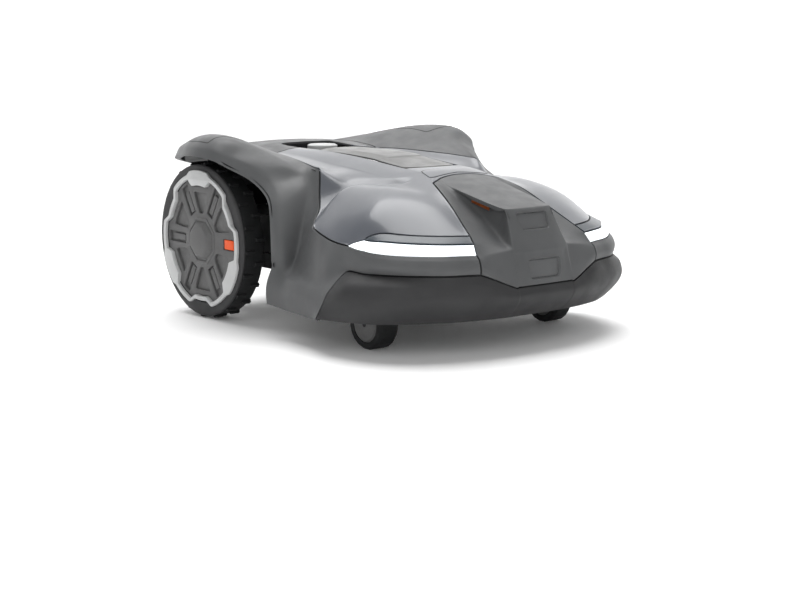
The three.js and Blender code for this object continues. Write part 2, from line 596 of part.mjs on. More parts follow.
function driveWheel(side, sign) {
  const { y, z, inner, outer, seat, radius, sides } = WHEEL;
  const across = 1 / Math.cos(Math.PI / sides);
  const tyre = [[seat, inner + 4], [seat + 10, inner], [radius * across - 5, inner],
    [radius * across, inner + 6], [radius * across, outer - 8], [radius * across - 6, outer],
    [seat + 8, outer], [seat, outer - 6], [seat, inner + 4]];
  place(`tyre_${side}`, flip(turnedX(tyre, y, z, sides), sign), tyreRubber());

  const web = 206;
  const rim = [[9, web - 22], [26, web - 22], [26, web - 4], [82, web - 4], [82, inner + 6],
    [seat - FIT, inner + 6], [seat - FIT, outer - 8], [86, outer - 8], [86, web + 4], [22, web + 4],
    [22, web + 16], [9, web + 16], [9, web - 22]];
  place(`wheel_rim_${side}`, flip(turnedX(rim, y, z, sides), sign), darkPlastic());

  const cover = [[0, 223.6], [92.5, 223.6], [92.5, 231.6], [104.6, 231.6], [104.6, 235],
    [100, 236.5], [93, 235], [60, 229], [36, 229], [25, 234.5], [0, 234.5]];
  const notch = block([224.8, y - 90.5, z - 8], [240, y - 62.5, z + 9]);
  const coverSolid = cut(turnedX(cover, y, z, sides), notch);
  place(`wheel_cover_${side}`, flip(coverSolid, sign), coverGrey());
  const accent = turnedX(ring(105, 111.5, 231.6, 237.5), y, z, sides);
  place(`wheel_accent_${side}`, flip(accent, sign), accentGrey());
  const marker = block([225.3, y - 90, z - 7.5], [230.5, y - 63, z + 8.5]);
  place(`wheel_marker_${side}`, flip(marker, sign), orange());
  place(`output_shaft_${side}`, flip(turnedX(rod(8.7, 143.8, 214), y, z, 20), sign), steel());
  const motor = [[0, 40], [24, 40], [24, 96], [31, 98], [31, 143.4], [0, 143.4]];
  place(`drive_motor_${side}`, flip(turnedX(motor, y, z, 28), sign), motorBlack());
}

// ---------------------------------------------------------------- casters

function caster(side, sign) {
  const { x, y, radius, width, trail, sides } = CASTER;
  const across = 1 / Math.cos(Math.PI / sides);
  const half = width / 2;
  const z = radius;
  const tyre = [[27, -half], [radius * across - 3, -half], [radius * across, -half + 4],
    [radius * across, half - 4], [radius * across - 3, half], [27, half], [27, -half]];
  const tread = turnedX(tyre, y, z, sides).translate(sign * x, 0, 0);
  place(`caster_tyre_${side}`, tread, tyreRubber());
  const disc = [[4.1, -half - 1], [24, -half - 1], [26.6, -half + 1], [26.6, half - 1],
    [24, half + 1], [4.1, half + 1], [4.1, -half - 1]];
  place(`caster_disc_${side}`, turnedX(disc, y, z, sides).translate(sign * x, 0, 0), coverGrey());

  const stemY = y - trail;
  const bridgeZ = 2 * radius + 1.4;
  const crown = block([-half - 6, stemY - 12, bridgeZ], [half + 6, y + 8, bridgeZ + 3.2]);
  const stem = turnedZ(rod(8, bridgeZ + 1, 98), 0, stemY, 16);
  const cheek = (at) => {
    const outline = [[stemY - 10, bridgeZ + 2], [y + 6, bridgeZ + 2], [y + 8, z - 6],
      [y - 8, z - 6]];
    const shape = new THREE.Shape(outline.map(([v, w]) => new THREE.Vector2(v, w)));
    const plate = new THREE.ExtrudeGeometry(shape, { depth: 3, bevelEnabled: false });
    return plate.applyMatrix4(new THREE.Matrix4().set(0, 0, 1, at, 1, 0, 0, 0, 0, 1, 0, 0,
      0, 0, 0, 1));
  };
  const axle = turnedX(rod(4, -half - 5, half + 1), y, z, 16);
  const fork = join(crown, stem, cheek(-half - 5.4), axle);
  place(`caster_fork_${side}`, flip(fork, sign).translate(sign * x, 0, 0), darkPlastic());
}

// ---------------------------------------------------------------- cutting system

function cuttingSystem() {
  const { y, discRadius, discZ, discThick, bladeLength } = CUT;
  const bladeTurn = (at) => (at * 2 * Math.PI) / 3 + Math.PI / 2;
  const pinRadius = discRadius - 14;
  const pins = [0, 1, 2].map((at) => turnedZ(rod(2.5, discZ - 3.6, discZ + 1),
    pinRadius * Math.cos(bladeTurn(at)), y + pinRadius * Math.sin(bladeTurn(at)), 12));
  const disc = [[0, discZ], [discRadius - 4, discZ], [discRadius, discZ + 3],
    [discRadius, discZ + 7], [discRadius - 3, discZ + 7], [discRadius - 8, discZ + discThick],
    [40, discZ + discThick], [12, discZ + 12], [6.5, discZ + 12], [6.5, 100], [0, 100]];
  const hub = turnedZ(rod(6.5, 17, discZ + 1), 0, y, 20);
  place('cutting_disc', join(turnedZ(disc, 0, y, 40), hub, ...pins), coverGrey());

  for (const at of [0, 1, 2]) {
    const outline = [[-6, -9], [bladeLength - 9, -9], [bladeLength - 5, 9], [-6, 9]];
    const hole = turnedZ(rod(2.6, -1, 3), 0, 0, 12);
    const blade = cut(slab(outline, 0, 1), hole);
    const turn = bladeTurn(at);
    blade.rotateZ(turn).translate(pinRadius * Math.cos(turn), y + pinRadius * Math.sin(turn),
      discZ - 2.6);
    place(`blade_${at + 1}`, blade, steel());
  }

  const skid = [[7, 14], [62, 14], [78, 19], [78, 21], [61, 16.5], [7, 16.5], [7, 14]];
  place('skid_plate', turnedZ(skid, 0, y, 32), darkPlastic());

  const motor = [[7, 86], [36, 86], [38, 88], [38, 116], [34, 120], [7, 120], [7, 86]];
  place('cutting_motor', turnedZ(motor, 0, y, 28), motorBlack());
  const sleeve = turnedZ(ring(38.4, 42, 76, 112), 0, y, 28);
  const foot = turnedZ(ring(7.2, 42, 73, 77), 0, y, 28);
  const arm = block([-14, y + 40, 98], [14, SPINDLE.y + 10, 112]);
  const nut = turnedZ(rod(SPINDLE.radius + 0.4, 90, 120), SPINDLE.x, SPINDLE.y, 16);
  place('height_carriage', cut(join(sleeve, foot, arm), nut), darkPlastic());

  const spindle = turnedZ(rod(SPINDLE.radius, 82.5, 157), SPINDLE.x, SPINDLE.y, 16);
  place('height_spindle', spindle, steel());
  const drive = [[0, 157.4], [14, 157.4], [14, 160.6], [0, 160.6]];
  place('height_motor', turnedZ(drive, SPINDLE.x, SPINDLE.y, 20), motorBlack());
}

// ---------------------------------------------------------------- floating mounts

function floatPosts() {
  const foot = DECK.top + FIT;
  const post = (top) => [[0, foot], [13, foot], [13, foot + 5], [7, foot + 8], [7, top - 8],
    [12, top - 5], [12, top], [0, top]];
  const places = { front_left: [-60, -130, 230], front_right: [60, -130, 230], rear: [0, 275, 262] };
  for (const [name, [x, y, top]] of Object.entries(places)) {
    place(`float_post_${name}`, turnedZ(post(top), x, y, 12), darkPlastic());
  }
}

outerBody();
noseHousing();
rearCover();
controls();
hatch();
chassis();
electronics();
for (const [side, sign] of SIDES) {
  driveWheel(side, sign);
  caster(side, sign);
}
cuttingSystem();
floatPosts();

export default mower;
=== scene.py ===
"""Robotic lawn mower: the visible surfaces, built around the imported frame.

Every length is in millimetres until it becomes a mesh; MM turns it into metres. The body panels
are one smooth skin, drawn as control nets for the +X half, which is mirrored, subdivided and then
split at its seams into the separate panels.
"""

import json
import math

import bmesh
import bpy
import numpy as np
from mathutils import Matrix, Vector
from mathutils.bvhtree import BVHTree


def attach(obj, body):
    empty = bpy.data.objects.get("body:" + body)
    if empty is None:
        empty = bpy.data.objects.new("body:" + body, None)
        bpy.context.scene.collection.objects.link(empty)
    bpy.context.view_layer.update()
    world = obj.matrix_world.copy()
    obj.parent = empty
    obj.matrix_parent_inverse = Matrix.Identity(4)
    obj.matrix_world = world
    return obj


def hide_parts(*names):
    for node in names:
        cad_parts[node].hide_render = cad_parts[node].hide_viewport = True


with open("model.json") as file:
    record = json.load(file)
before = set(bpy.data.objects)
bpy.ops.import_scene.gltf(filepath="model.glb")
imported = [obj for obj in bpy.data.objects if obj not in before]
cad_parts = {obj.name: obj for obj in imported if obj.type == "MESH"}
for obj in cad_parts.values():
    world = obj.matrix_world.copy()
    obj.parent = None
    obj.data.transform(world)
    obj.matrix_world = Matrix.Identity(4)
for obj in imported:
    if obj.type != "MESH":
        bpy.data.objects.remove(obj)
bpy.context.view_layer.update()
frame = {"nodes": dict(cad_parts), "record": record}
SLOTS = {row["node"]: row["material_slot"] for row in frame["record"]["subparts"]}

MM = 0.001
SIDES = (("left", -1), ("right", 1))

# ---------------------------------------------------------------- camera

CAMERA_AT = (-1.564, -1.894, 0.441)
CAMERA_AZIMUTH = -39.71
CAMERA_ELEVATION = 9.49
CAMERA_LENS = 69.98


def add_camera():
    """The camera looks down a little, from the front left."""
    data = bpy.data.cameras.new("camera")
    data.lens = CAMERA_LENS
    data.sensor_width = 36
    camera = bpy.data.objects.new("camera", data)
    bpy.context.scene.collection.objects.link(camera)
    azimuth = math.radians(CAMERA_AZIMUTH)
    elevation = math.radians(CAMERA_ELEVATION)
    camera.location = CAMERA_AT
    camera.rotation_euler = (math.pi / 2 - elevation, 0, azimuth)
    bpy.context.scene.camera = camera


# ---------------------------------------------------------------- panel control nets

FENDER = [
    [(106, 292, 268), (106, 303, 268), (106, 315, 265), (106, 327, 258), (106, 337, 248),
     (106, 342.5, 226), (106, 333, 224)],
    [(106, 250, 268), (135, 270, 273), (160, 288, 275), (180, 302, 272), (193, 314, 262),
     (200, 321, 245), (193, 312, 243)],
    [(106, 222, 266), (135, 229, 275), (172, 240, 284), (208, 252, 285), (229, 266, 272),
     (234, 270, 257), (225, 263, 255)],
    [(105, 180, 260), (140, 184, 274), (183, 184, 288), (230, 184, 294.5), (259, 196, 278.5),
     (266, 197, 263), (255, 195, 261)],
    [(121, 130, 260), (150, 132, 270), (184, 130, 281), (236, 122, 291), (264, 123.5, 275.5),
     (268, 123.5, 260.5), (257, 123.5, 258.5)],
    [(135, 84, 258), (152, 82, 261), (177.5, 83.5, 267.5), (207, 87.5, 274.5), (249.5, 95.5, 265),
     (254, 94, 248), (243, 92, 246)],
    [(150, 35, 255), (160.5, 35, 253.5), (174, 36, 254), (194.5, 38.5, 255.5),
     (224.5, 54.5, 247.5), (236, 65, 232.5), (225, 63, 229.5)],
    [(159.5, -1, 251.5), (167, 4.5, 246), (175, 9.5, 241), (186, 15.5, 237), (216.5, 23.5, 228),
     (234, 25.5, 211.5), (223, 26.5, 209.5)],
    [(162.5, -17, 246), (170.5, -9, 237.5), (180, -8, 229), (195, -9.5, 220), (224.5, -2.5, 209),
     (242, 2.5, 191), (232, 3.5, 191)],
    [(176.5, -35, 215.5), (184, -29.5, 205.5), (194.5, -28.5, 195), (206.5, -27, 184),
     (238, -22.5, 172.5), (247, -7, 160.5), (237, -6.5, 160.5)],
    [(189, -52, 197), (196, -45, 185), (205, -38, 167), (214, -32, 148), (240, -32, 127),
     (250, -13, 110), (241, -11, 110)],
]
SIDE = [
    FENDER[-1][:6],
    [(203, -64, 186), (208, -56, 172), (212, -46, 150), (217, -36, 128), (227, -33, 110),
     (244, -38, 99)],
    [(225, -84, 172), (225, -78, 155), (226, -73, 135), (227, -66, 115), (234, -62, 101),
     (249, -64, 94)],
    [(233, -125, 162), (236, -124, 148), (239, -123, 132), (243, -122, 115), (247, -121, 101),
     (255, -110, 91)],
    [(236, -152, 158), (238, -150, 147), (241, -149, 133), (245, -148, 117), (251, -147, 102),
     (259, -145, 89)],
    [(235.5, -165, 156.7), (237, -165, 146.5), (239, -165, 133), (241, -164, 118.5),
     (250.5, -160, 104), (260.5, -155, 88.5)],
    [(235, -178, 155.5), (236, -180, 146), (237, -181, 133), (237, -180, 120), (250, -172, 106),
     (262, -165, 88)],
]
SKIRT = [
    [(250, -13, 110), (253, -1, 80), (250, 2, 50)],
    [(244, -38, 99), (252, -38, 76), (250, -38, 47)],
    [(249, -64, 94), (256, -66, 74), (253, -68, 46)],
    [(255, -110, 91), (261, -108, 72), (259, -108, 46)],
    [(259, -145, 89), (265, -138, 70), (265, -134, 47)],
    [(260.5, -155, 88.5), (266.2, -148, 69.5), (269, -143, 48.5)],
    [(262, -165, 88), (267.5, -158.5, 69), (273, -152, 50)],
]
LIP = [
    SIDE[-1][:4],
    [(233, -208, 151.5), (236, -210, 144), (237, -210, 132), (235, -206, 120)],
    [(227, -236, 149.5), (230, -240, 143), (231, -241, 132), (226, -237, 120)],
    [(209, -264, 148), (212, -269, 142), (214, -271, 132), (209, -268, 120)],
    [(172, -296, 147), (174, -302, 141), (175, -306, 131), (172, -305, 120)],
    [(143, -308, 146.5), (144.5, -313, 140.5), (145.5, -317, 130.5), (143.5, -316, 119.6)],
    [(114.3, -316, 146), (115, -322, 140), (115.5, -326, 130), (114.5, -325, 119)],
]
BUMPER = [
    [(237, -180, 120), (250, -172, 106), (262, -165, 88), (267.5, -158.5, 69), (273, -152, 50)],
    [(235, -206, 120), (256, -207, 106), (264, -205, 88), (264, -199, 69), (259, -191, 50)],
    [(226, -237, 120), (240, -247, 106), (246, -250, 88), (246, -243, 69), (240, -232, 50)],
    [(209, -268, 120), (216, -281, 106), (218, -285, 88), (214, -277, 69), (206, -261, 50)],
    [(172, -305, 120), (173, -309, 107), (174, -311, 88), (169, -304, 69), (160, -288, 50)],
    [(143.5, -316, 119.6), (144, -320, 106.5), (144.5, -322, 88), (141.5, -315, 69),
     (136, -298, 50)],
    [(114.5, -325, 119), (114.5, -330, 106), (114.5, -331, 88), (113, -323, 69),
     (110, -305, 50)],
    [(87, -332, 108), (87, -335, 98), (87, -337, 85), (86.5, -329, 68.5), (85, -309.5, 50)],
    [(59.6, -338, 97), (59.8, -340, 90), (60, -341, 82), (59.5, -333, 68), (59, -313, 50)],
    [(0, -338.5, 97), (0, -341.5, 90), (0, -342.5, 82), (0, -335, 68), (0, -314.5, 50)],
]
HOOD = [
    [(53, 182, 267), (78, 181, 265), (92, 181, 262.5), (97, 180, 261.5), (100, 180, 261),
     (103, 180, 260.5), (105, 180, 260)],
    [(53, 130, 266.5), (72, 130, 262.5), (89, 130, 257.5), (95, 130, 256.5), (104, 130, 256.5),
     (113, 130, 258), (121, 130, 260)],
    [(53, 84, 264.5), (72, 84, 260), (90, 84, 253.5), (96, 84, 252), (110, 84, 251.5),
     (123, 84, 254), (135, 84, 258)],
    [(53, 35, 261.5), (72, 35, 256), (90, 33, 249.5), (98, 32, 247), (116, 32, 245.5),
     (135, 34, 249), (150, 35, 255)],
    [(53, -10, 257.5), (72, -11, 252.5), (91, -14, 245.5), (98, -16, 243), (120, -14, 241.5),
     (144, -9, 245), (159.5, -1, 251.5)],
    [(53, -58, 252.5), (72, -58, 247.5), (90, -58, 241), (98, -58, 237.5), (124, -46, 231),
     (150, -36, 236), (162.5, -17, 246)],
    [(53, -90, 249.5), (72, -90, 244.5), (88, -90, 238), (97, -86, 234), (125, -66, 222.5),
     (154, -50, 222), (176.5, -35, 215.5)],
    [(54, -112, 247.5), (71, -112, 242), (86, -112, 235.5), (97, -102, 230), (127, -77, 220.5),
     (160, -58, 212), (189, -52, 197)],
    [(56, -135, 244), (71, -133, 239), (84, -130, 233), (97, -114, 228.5), (125, -85, 222.5),
     (166, -63, 207), (203, -64, 186)],
    [(67, -168, 234), (90, -160, 228), (104, -128, 229.5), (123, -97, 229), (155, -72, 225),
     (192, -70, 197), (225, -84, 172)],
]
POD = [
    HOOD[-1],
    [(79, -200, 222), (100, -190, 221.5), (118, -165, 226), (140, -135, 228), (170, -118, 217),
     (204, -108, 192), (233, -125, 162)],
    [(88, -234, 204), (111, -222, 208), (133, -204, 213), (158, -180, 216), (184, -165, 207),
     (211, -140, 186), (236, -152, 158)],
    [(97, -264, 186), (122, -254, 190), (146, -238, 194), (174, -213, 197), (198, -190, 193),
     (217, -172, 178), (235.5, -165, 156.7)],
    [(105, -291, 170), (133, -283, 171), (158, -270, 172), (187, -243, 173.5),
     (206, -214, 174.5), (221, -198, 165), (235, -178, 155.5)],
]
BROW = [
    [(0, -102, 250.8), (21, -100.5, 250.7), (36, -96.5, 250.4), (40, -95, 250.3),
     (44, -93.4, 250.1), (47, -92.2, 250), (50, -91, 249.8), (53, -90, 249.5)],
    [(0, -117, 249.4), (21, -116.4, 249.2), (37, -115, 248.7), (41, -114.4, 248.5),
     (45, -113.8, 248.3), (48, -113.2, 248.1), (51, -112.6, 247.8), (54, -112, 247.5)],
    [(0, -135, 247.5), (22, -135, 247), (39, -135, 245.8), (43, -135, 245.4), (47, -135, 244.9),
     (50, -135, 244.6), (53, -135, 244.3), (56, -135, 244)],
    [(0, -153, 242.5), (26, -155.2, 241.4), (45, -159.5, 239), (50, -161.4, 237.8),
     (55, -163.4, 236.7), (59, -164.9, 235.8), (63, -166.5, 234.9), (67, -168, 234)],
]
BAND = [
    POD[-1][:6],
    [(110.6, -306, 160), (140, -299, 161.5), (167, -287, 162.5), (200, -257, 164),
     (215, -230, 165), (221, -198, 165)],
]
LIGHT = [
    [*BAND[1], POD[-1][6]],
    [(114.3, -316, 146), (143, -308, 146.5), (172, -296, 147), (209, -264, 148),
     (227, -236, 149.5), (233, -208, 151.5), (235, -178, 155.5)],
]
NOSE = [
    BROW[-1],
    [(0, -190, 234), (26, -190, 233), (50, -190, 230), (54, -191, 228), (58, -192, 226.5),
     (63, -193, 225.5), (70, -196, 224), (79, -200, 222)],
    [(0, -222, 226), (26, -222, 225), (52, -222, 221.5), (52, -222, 217), (46, -222, 216),
     (50, -224, 205), (70, -228, 204), (88, -234, 204)],
    [(0, -262, 215), (26, -262, 214.5), (50, -262, 212), (50, -262, 207), (42, -262, 206),
     (47, -262, 184), (72, -262, 184), (97, -264, 186)],
    [(0, -290, 207.5), (26, -290, 207), (46, -289, 205.5), (46, -289, 200.5), (41, -288, 199),
     (48, -290, 165), (76, -290, 167), (105, -291, 170)],
    [(0, -303, 203), (26, -302, 203), (43, -299, 203), (45, -301, 197), (46, -303, 190),
     (54, -312, 156), (80, -306, 158), (110.6, -306, 160)],
    [(0, -331, 150), (28, -330, 150), (46, -327, 150), (50, -326, 150), (53, -325, 150),
     (57, -324, 149.5), (85, -321, 147.5), (114.3, -316, 146)],
    [(0, -333, 140), (28, -332.5, 140), (42, -330, 140), (48, -329, 140), (53, -328, 140),
     (59, -327, 140), (88, -325, 140), (115, -322, 140)],
    [(0, -336.5, 120), (28, -336, 120), (41, -335, 120), (48, -334.5, 120), (53, -334, 120),
     (59, -333, 120), (88, -330, 124), (115.5, -326, 130)],
    [(0, -338.5, 97), (28, -338.4, 97), (40, -338.3, 97), (48, -338.2, 97), (54, -338.1, 97),
     (59.6, -338, 97), (87, -332, 108), (114.5, -325, 119)],
]
REAR = [
    [(0, 330, 92), (28, 330, 92), (60, 330, 92), (100, 329, 92), (144, 320, 92)],
    [(0, 338, 130), (28, 338, 130), (60, 338, 130), (100, 337, 130), (146, 326, 130)],
    [(0, 341, 175), (28, 341, 175), (60, 341, 175), (100, 340, 175), (146, 328, 175)],
    [(0, 342, 206), (28, 342, 206), (60, 342, 206), (100, 341, 206), (143, 330, 204)],
    [(0, 342.5, 226), (28, 342.5, 226), (53, 342.5, 226), (80, 342.5, 226), (106, 342.5, 226)],
    [(0, 338, 248), (28, 338, 248), (53, 338, 248), (80, 337.5, 248), (106, 337, 248)],
    [(0, 329, 261), (28, 329, 261), (53, 328, 260), (80, 327.5, 259), (106, 327, 258)],
    [(0, 316, 269), (28, 316, 269), (53, 315, 268), (80, 315, 267), (106, 315, 265)],
    [(0, 303, 272), (28, 303, 272), (53, 303, 271), (80, 303, 270), (106, 303, 268)],
    [(0, 292, 273), (28, 292, 272.5), (53, 292, 271.5), (80, 292, 270), (106, 292, 268)],
    [(0, 250, 273), (28, 250, 272.5), (53, 250, 271.5), (80, 250, 270), (106, 250, 268)],
]
REAR_BRIDGE = [
    REAR[-1][:3],
    [(0, 233, 272.5), (28, 233, 272), (53, 233, 270.5)],
]
REAR_ARM = [
    REAR[-1][2:],
    [(53, 233, 270.5), (80, 228, 269), (106, 222, 266)],
    [(53, 182, 267), (78, 181, 265), (105, 180, 260)],
]
LID = [
    [(0, 136, 268), (20, 135.8, 267.7), (30, 135.3, 267.3), (36, 134.6, 266.8), (44, 134, 266),
     (50, 131, 265)],
    [(0, 60, 268), (20, 60, 267.7), (33, 60, 267), (39, 60, 265.4), (45, 60, 264), (50, 60, 263)],
    [(0, 5, 265.8), (20, 4, 265.6), (34, 2, 264.8), (40, 0, 262.6), (45, -1, 260.8),
     (50, -2, 259.3)],
    [(0, -24, 263), (20, -24, 262.9), (33, -22, 262), (40, -18, 259.6), (45, -18, 258.3),
     (50, -18, 257.3)],
    [(0, -31, 260.6), (20, -31, 260.4), (35, -30, 259.6), (42, -28, 257.8), (46, -27, 257),
     (50, -26, 256.2)],
    [(0, -74, 254), (20, -73, 253.8), (34, -71, 253.2), (42, -69, 252.5), (47, -67, 252),
     (50, -64, 251.6)],
    [(0, -98, 251), (20, -97, 250.9), (33, -93, 250.7), (41, -88.5, 250.5), (46, -84.5, 250.3),
     (50, -79, 250)],
]

# Blank plate in front of the hatch, and the square cap on each fender.
PLATE = [
    [(0, -118, 251), (30, -118, 250), (50, -119, 248.2)],
    [(0, -132, 249), (32, -132, 248), (56, -131, 245.5)],
    [(0, -147, 245), (34, -149, 243.6), (61, -155, 239.6)],
]
CAP = [
    [(180, 215.5, 286), (218, 221.5, 289.3), (236.5, 231.5, 278.4)],
    [(186.5, 184, 288.5), (230, 184, 294.5), (252, 193, 282.3)],
    [(187.5, 143, 283.4), (234.5, 137.5, 291.9), (256, 140.5, 280)],
]



def between_rows(outer, inner, top):
    """A row between two others, level with its own top point."""
    share = 1 - top[0] / outer[0][0]
    rest = [tuple(round(a + (b - a) * share, 1) for a, b in zip(p, q))
            for p, q in zip(outer[1:], inner[1:])]
    return [top, *rest]


# Under the nose, the bumper has a row for every point of the nose's lower edge.
BUMPER[-1:] = [between_rows(BUMPER[-2], BUMPER[-1], top) for top in NOSE[-1][4:0:-1]] + BUMPER[-1:]

# Which nets make each panel. A panel with {side} exists twice.
PANELS = {
    "body_side_{side}": (FENDER, SIDE, SKIRT, LIP),
    "headlight_{side}": (LIGHT,),
    "headlight_trim_{side}": (BAND,),
    "front_bumper": (BUMPER,),
    "top_hood": (HOOD, POD, BROW),
    "nose_housing": (NOSE,),
    "rear_cover": (REAR, REAR_BRIDGE, REAR_ARM),
}


def column(net, at, first=0, last=None):
    """The points of one column of a net, from one row to another."""
    return [row[at] for row in net[first:last]]


# Edges of the skin that stay sharper than the rest: (points, sharpness from 0 to 1).
CREASES = [
    (column(FENDER, 5), 0.9),
    (column(FENDER, 4, 1, 9), 0.45),
    (column(FENDER, 0, 3), 0.5),
    (column(HOOD, 2, 0, 8), 0.8),
    (column(HOOD, 0), 1.0),
    (HOOD[-1][2:], 0.45),
    (column(SIDE, 0), 0.5),
    (column(SKIRT, 0), 0.45),
    (SKIRT[0], 0.9),
    (SIDE[1][1:5], 0.4),
    (column(SKIRT, 2), 0.9),
    (column(BUMPER, 0), 0.9),
    (BUMPER[0], 0.6),
    (column(BUMPER, 1, 2), 0.5),
    (column(LIP, 1), 0.5),
    (BAND[0], 0.5),
    (BAND[1], 0.7),
    (LIGHT[1], 0.7),
    (column(NOSE, 7), 0.6),
    (NOSE[0], 0.7),
    (column(NOSE, 2, 1, 6), 0.7),
    (column(NOSE, 3, 2, 6), 0.7),
    (column(NOSE, 4, 2, 6), 0.5),
    (column(NOSE, 5, 2, 7), 0.35),
    (NOSE[5][0:3], 0.6),
    (NOSE[6], 0.4),
    (REAR[0], 0.9),
    (column(REAR, 4), 0.5),
    (REAR_BRIDGE[1], 1.0),
    (column(REAR_ARM, 0, 1), 1.0),
]

# ---------------------------------------------------------------- smooth skin

SKIN_LEVELS = 3  # how often the nets are subdivided
FIT_STEP = 0.85  # how far each round moves the net towards its target
SEAM = 1.3  # half the gap between two panels
CHAMFER = 0.4
WALL = 3.0


def mirrored(point):
    return (-point[0], point[1], point[2])


class Skin:
    """A quad mesh welded from control nets, smoothed so that it passes through their points."""

    def __init__(self):
        self.points = []
        self.index = {}
        self.faces = []
        self.owners = []
        self.creases = {}
        self.panels = []

    def point(self, place):
        key = tuple(round(value, 2) + 0.0 for value in place)
        if key not in self.index:
            self.index[key] = len(self.points)
            self.points.append(place)
        return self.index[key]

    def add(self, panel, net, flipped):
        if panel not in self.panels:
            self.panels.append(panel)
        rows = [[self.point(mirrored(p) if flipped else p) for p in row] for row in net]
        for upper, lower in zip(rows, rows[1:]):
            for j in range(len(upper) - 1):
                ring = [upper[j], lower[j], lower[j + 1], upper[j + 1]]
                ring = [v for at, v in enumerate(ring) if v not in ring[:at]]
                self.faces.append(ring[::-1] if flipped else ring)
                self.owners.append(self.panels.index(panel))

    def crease(self, line, weight):
        for flipped in (False, True):
            ids = [self.point(mirrored(p) if flipped else p) for p in line]
            for a, b in zip(ids, ids[1:]):
                self.creases[frozenset((a, b))] = weight

    def mesh(self, places):
        mesh = bpy.data.meshes.new("skin")
        mesh.from_pydata([tuple(p) for p in places], [], self.faces)
        mesh.polygons.foreach_set("material_index", self.owners)
        sharp = mesh.attributes.new("crease_edge", "FLOAT", "EDGE")
        for edge in mesh.edges:
            sharp.data[edge.index].value = self.creases.get(frozenset(edge.vertices), 0.0)
        return mesh

    def smoothed(self, places, levels):
        mesh = self.mesh(places)
        piece = bpy.data.objects.new("skin", mesh)
        bpy.context.scene.collection.objects.link(piece)
        modifier = piece.modifiers.new("smooth", "SUBSURF")
        modifier.levels = levels
        modifier.quality = 6
        modifier.use_limit_surface = True
        modifier.boundary_smooth = "PRESERVE_CORNERS"
        evaluated = piece.evaluated_get(bpy.context.evaluated_depsgraph_get())
        result = bpy.data.meshes.new_from_object(evaluated)
        bpy.data.objects.remove(piece)
        return result

    def build(self, rounds=5):
        """Points, faces and face owners of a fine surface through the control points."""
        target = np.array(self.points, float)
        places = target.copy()
        for _ in range(rounds):
            mesh = self.smoothed(places, 1)
            reached = read_points(mesh)[:len(target)]
            places += FIT_STEP * (target - reached)
        mesh = self.smoothed(places, SKIN_LEVELS)
        faces = [list(polygon.vertices) for polygon in mesh.polygons]
        owners = [polygon.material_index for polygon in mesh.polygons]
        return read_points(mesh), faces, owners


def read_points(mesh):
    flat = np.empty(len(mesh.vertices) * 3)
    mesh.vertices.foreach_get("co", flat)
    return flat.reshape(-1, 3)


def corner_normals(points, faces):
    """An outward unit normal for every point, from the faces around it."""
    total = np.zeros_like(points)
    for size in {len(face) for face in faces}:
        group = np.array([face for face in faces if len(face) == size])
        across = np.cross(points[group[:, 2]] - points[group[:, 0]],
                          points[group[:, -1]] - points[group[:, 1]])
        for at in range(size):
            np.add.at(total, group[:, at], across)
    length = np.linalg.norm(total, axis=1, keepdims=True)
    return total / np.maximum(length, 1e-12)


def border_edges(faces):
    """Directed edges that belong to one face only."""
    edges = {(a, b) for face in faces for a, b in zip(face, face[1:] + face[:1])}
    return [(a, b) for a, b in edges if (b, a) not in edges]


def walled(points, normals, faces, wall, gap, chamfer=CHAMFER, lift=0.0):
    """A closed panel of even wall around an open surface, its border set back by the gap and
    broken by a small chamfer."""
    used = sorted({v for face in faces for v in face})
    renumber = {v: at for at, v in enumerate(used)}
    faces = [[renumber[v] for v in face] for face in faces]
    outer = points[used] + normals[used] * lift
    normal = normals[used]
    inward = np.zeros_like(outer)
    border = sorted(border_edges(faces))
    for a, b in border:
        along = outer[b] - outer[a]
        side = np.cross((normal[a] + normal[b]) / 2, along)
        side /= max(np.linalg.norm(side), 1e-9)
        inward[a] += side
        inward[b] += side
    length = np.linalg.norm(inward, axis=1, keepdims=True)
    inward = inward / np.maximum(length, 1e-9)
    rim = sorted({v for edge in border for v in edge})
    low = {v: len(used) * 2 + at for at, v in enumerate(rim)}
    top = outer + inward * (gap + chamfer)
    inner = outer + inward * gap - normal * wall
    edge_ring = (outer + inward * gap - normal * chamfer)[rim]
    count = len(used)
    solid = list(faces) + [[v + count for v in reversed(face)] for face in faces]
    for a, b in border:
        solid.append([b, a, low[a], low[b]])
        solid.append([low[b], low[a], a + count, b + count])
    return np.vstack([top, inner, edge_ring]), solid


# ---------------------------------------------------------------- mesh helpers

def grid_faces(rows, wide, flipped):
    """Quads between points that are laid out row by row."""
    faces = []
    for row in range(rows - 1):
        for at in range(row * wide, row * wide + wide - 1):
            face = [at, at + wide, at + wide + 1, at + 1]
            faces.append(face[::-1] if flipped else face)
    return faces


def link(name, mesh, smooth_angle=35):
    mesh.update()
    piece = bpy.data.objects.new(name, mesh)
    bpy.context.scene.collection.objects.link(piece)
    mesh.polygons.foreach_set("use_smooth", [True] * len(mesh.polygons))
    mesh.set_sharp_from_angle(angle=math.radians(smooth_angle))
    return piece


def piece_from(name, points, faces, smooth_angle=35):
    """An object from points in millimetres."""
    mesh = bpy.data.meshes.new(name)
    mesh.from_pydata([tuple(p) for p in np.asarray(points) * MM], [], faces)
    mesh.validate()
    return link(name, mesh, smooth_angle)


def finish_piece(piece, body, slot, replaces=(), look=None):
    """The piece rides on a body, in its slot's look unless it has its own."""
    piece.data.materials.clear()
    piece.data.materials.append(LOOKS[look or slot])
    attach(piece, body)
    if replaces:
        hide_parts(*replaces)
    return piece


def painted_shade_piece(name, solid):
    """Painted shade: something dark that shows only through the gaps of the body."""
    finish_piece(piece_from(name, *solid), "outer_body", "dark_plastic")


# ---------------------------------------------------------------- materials

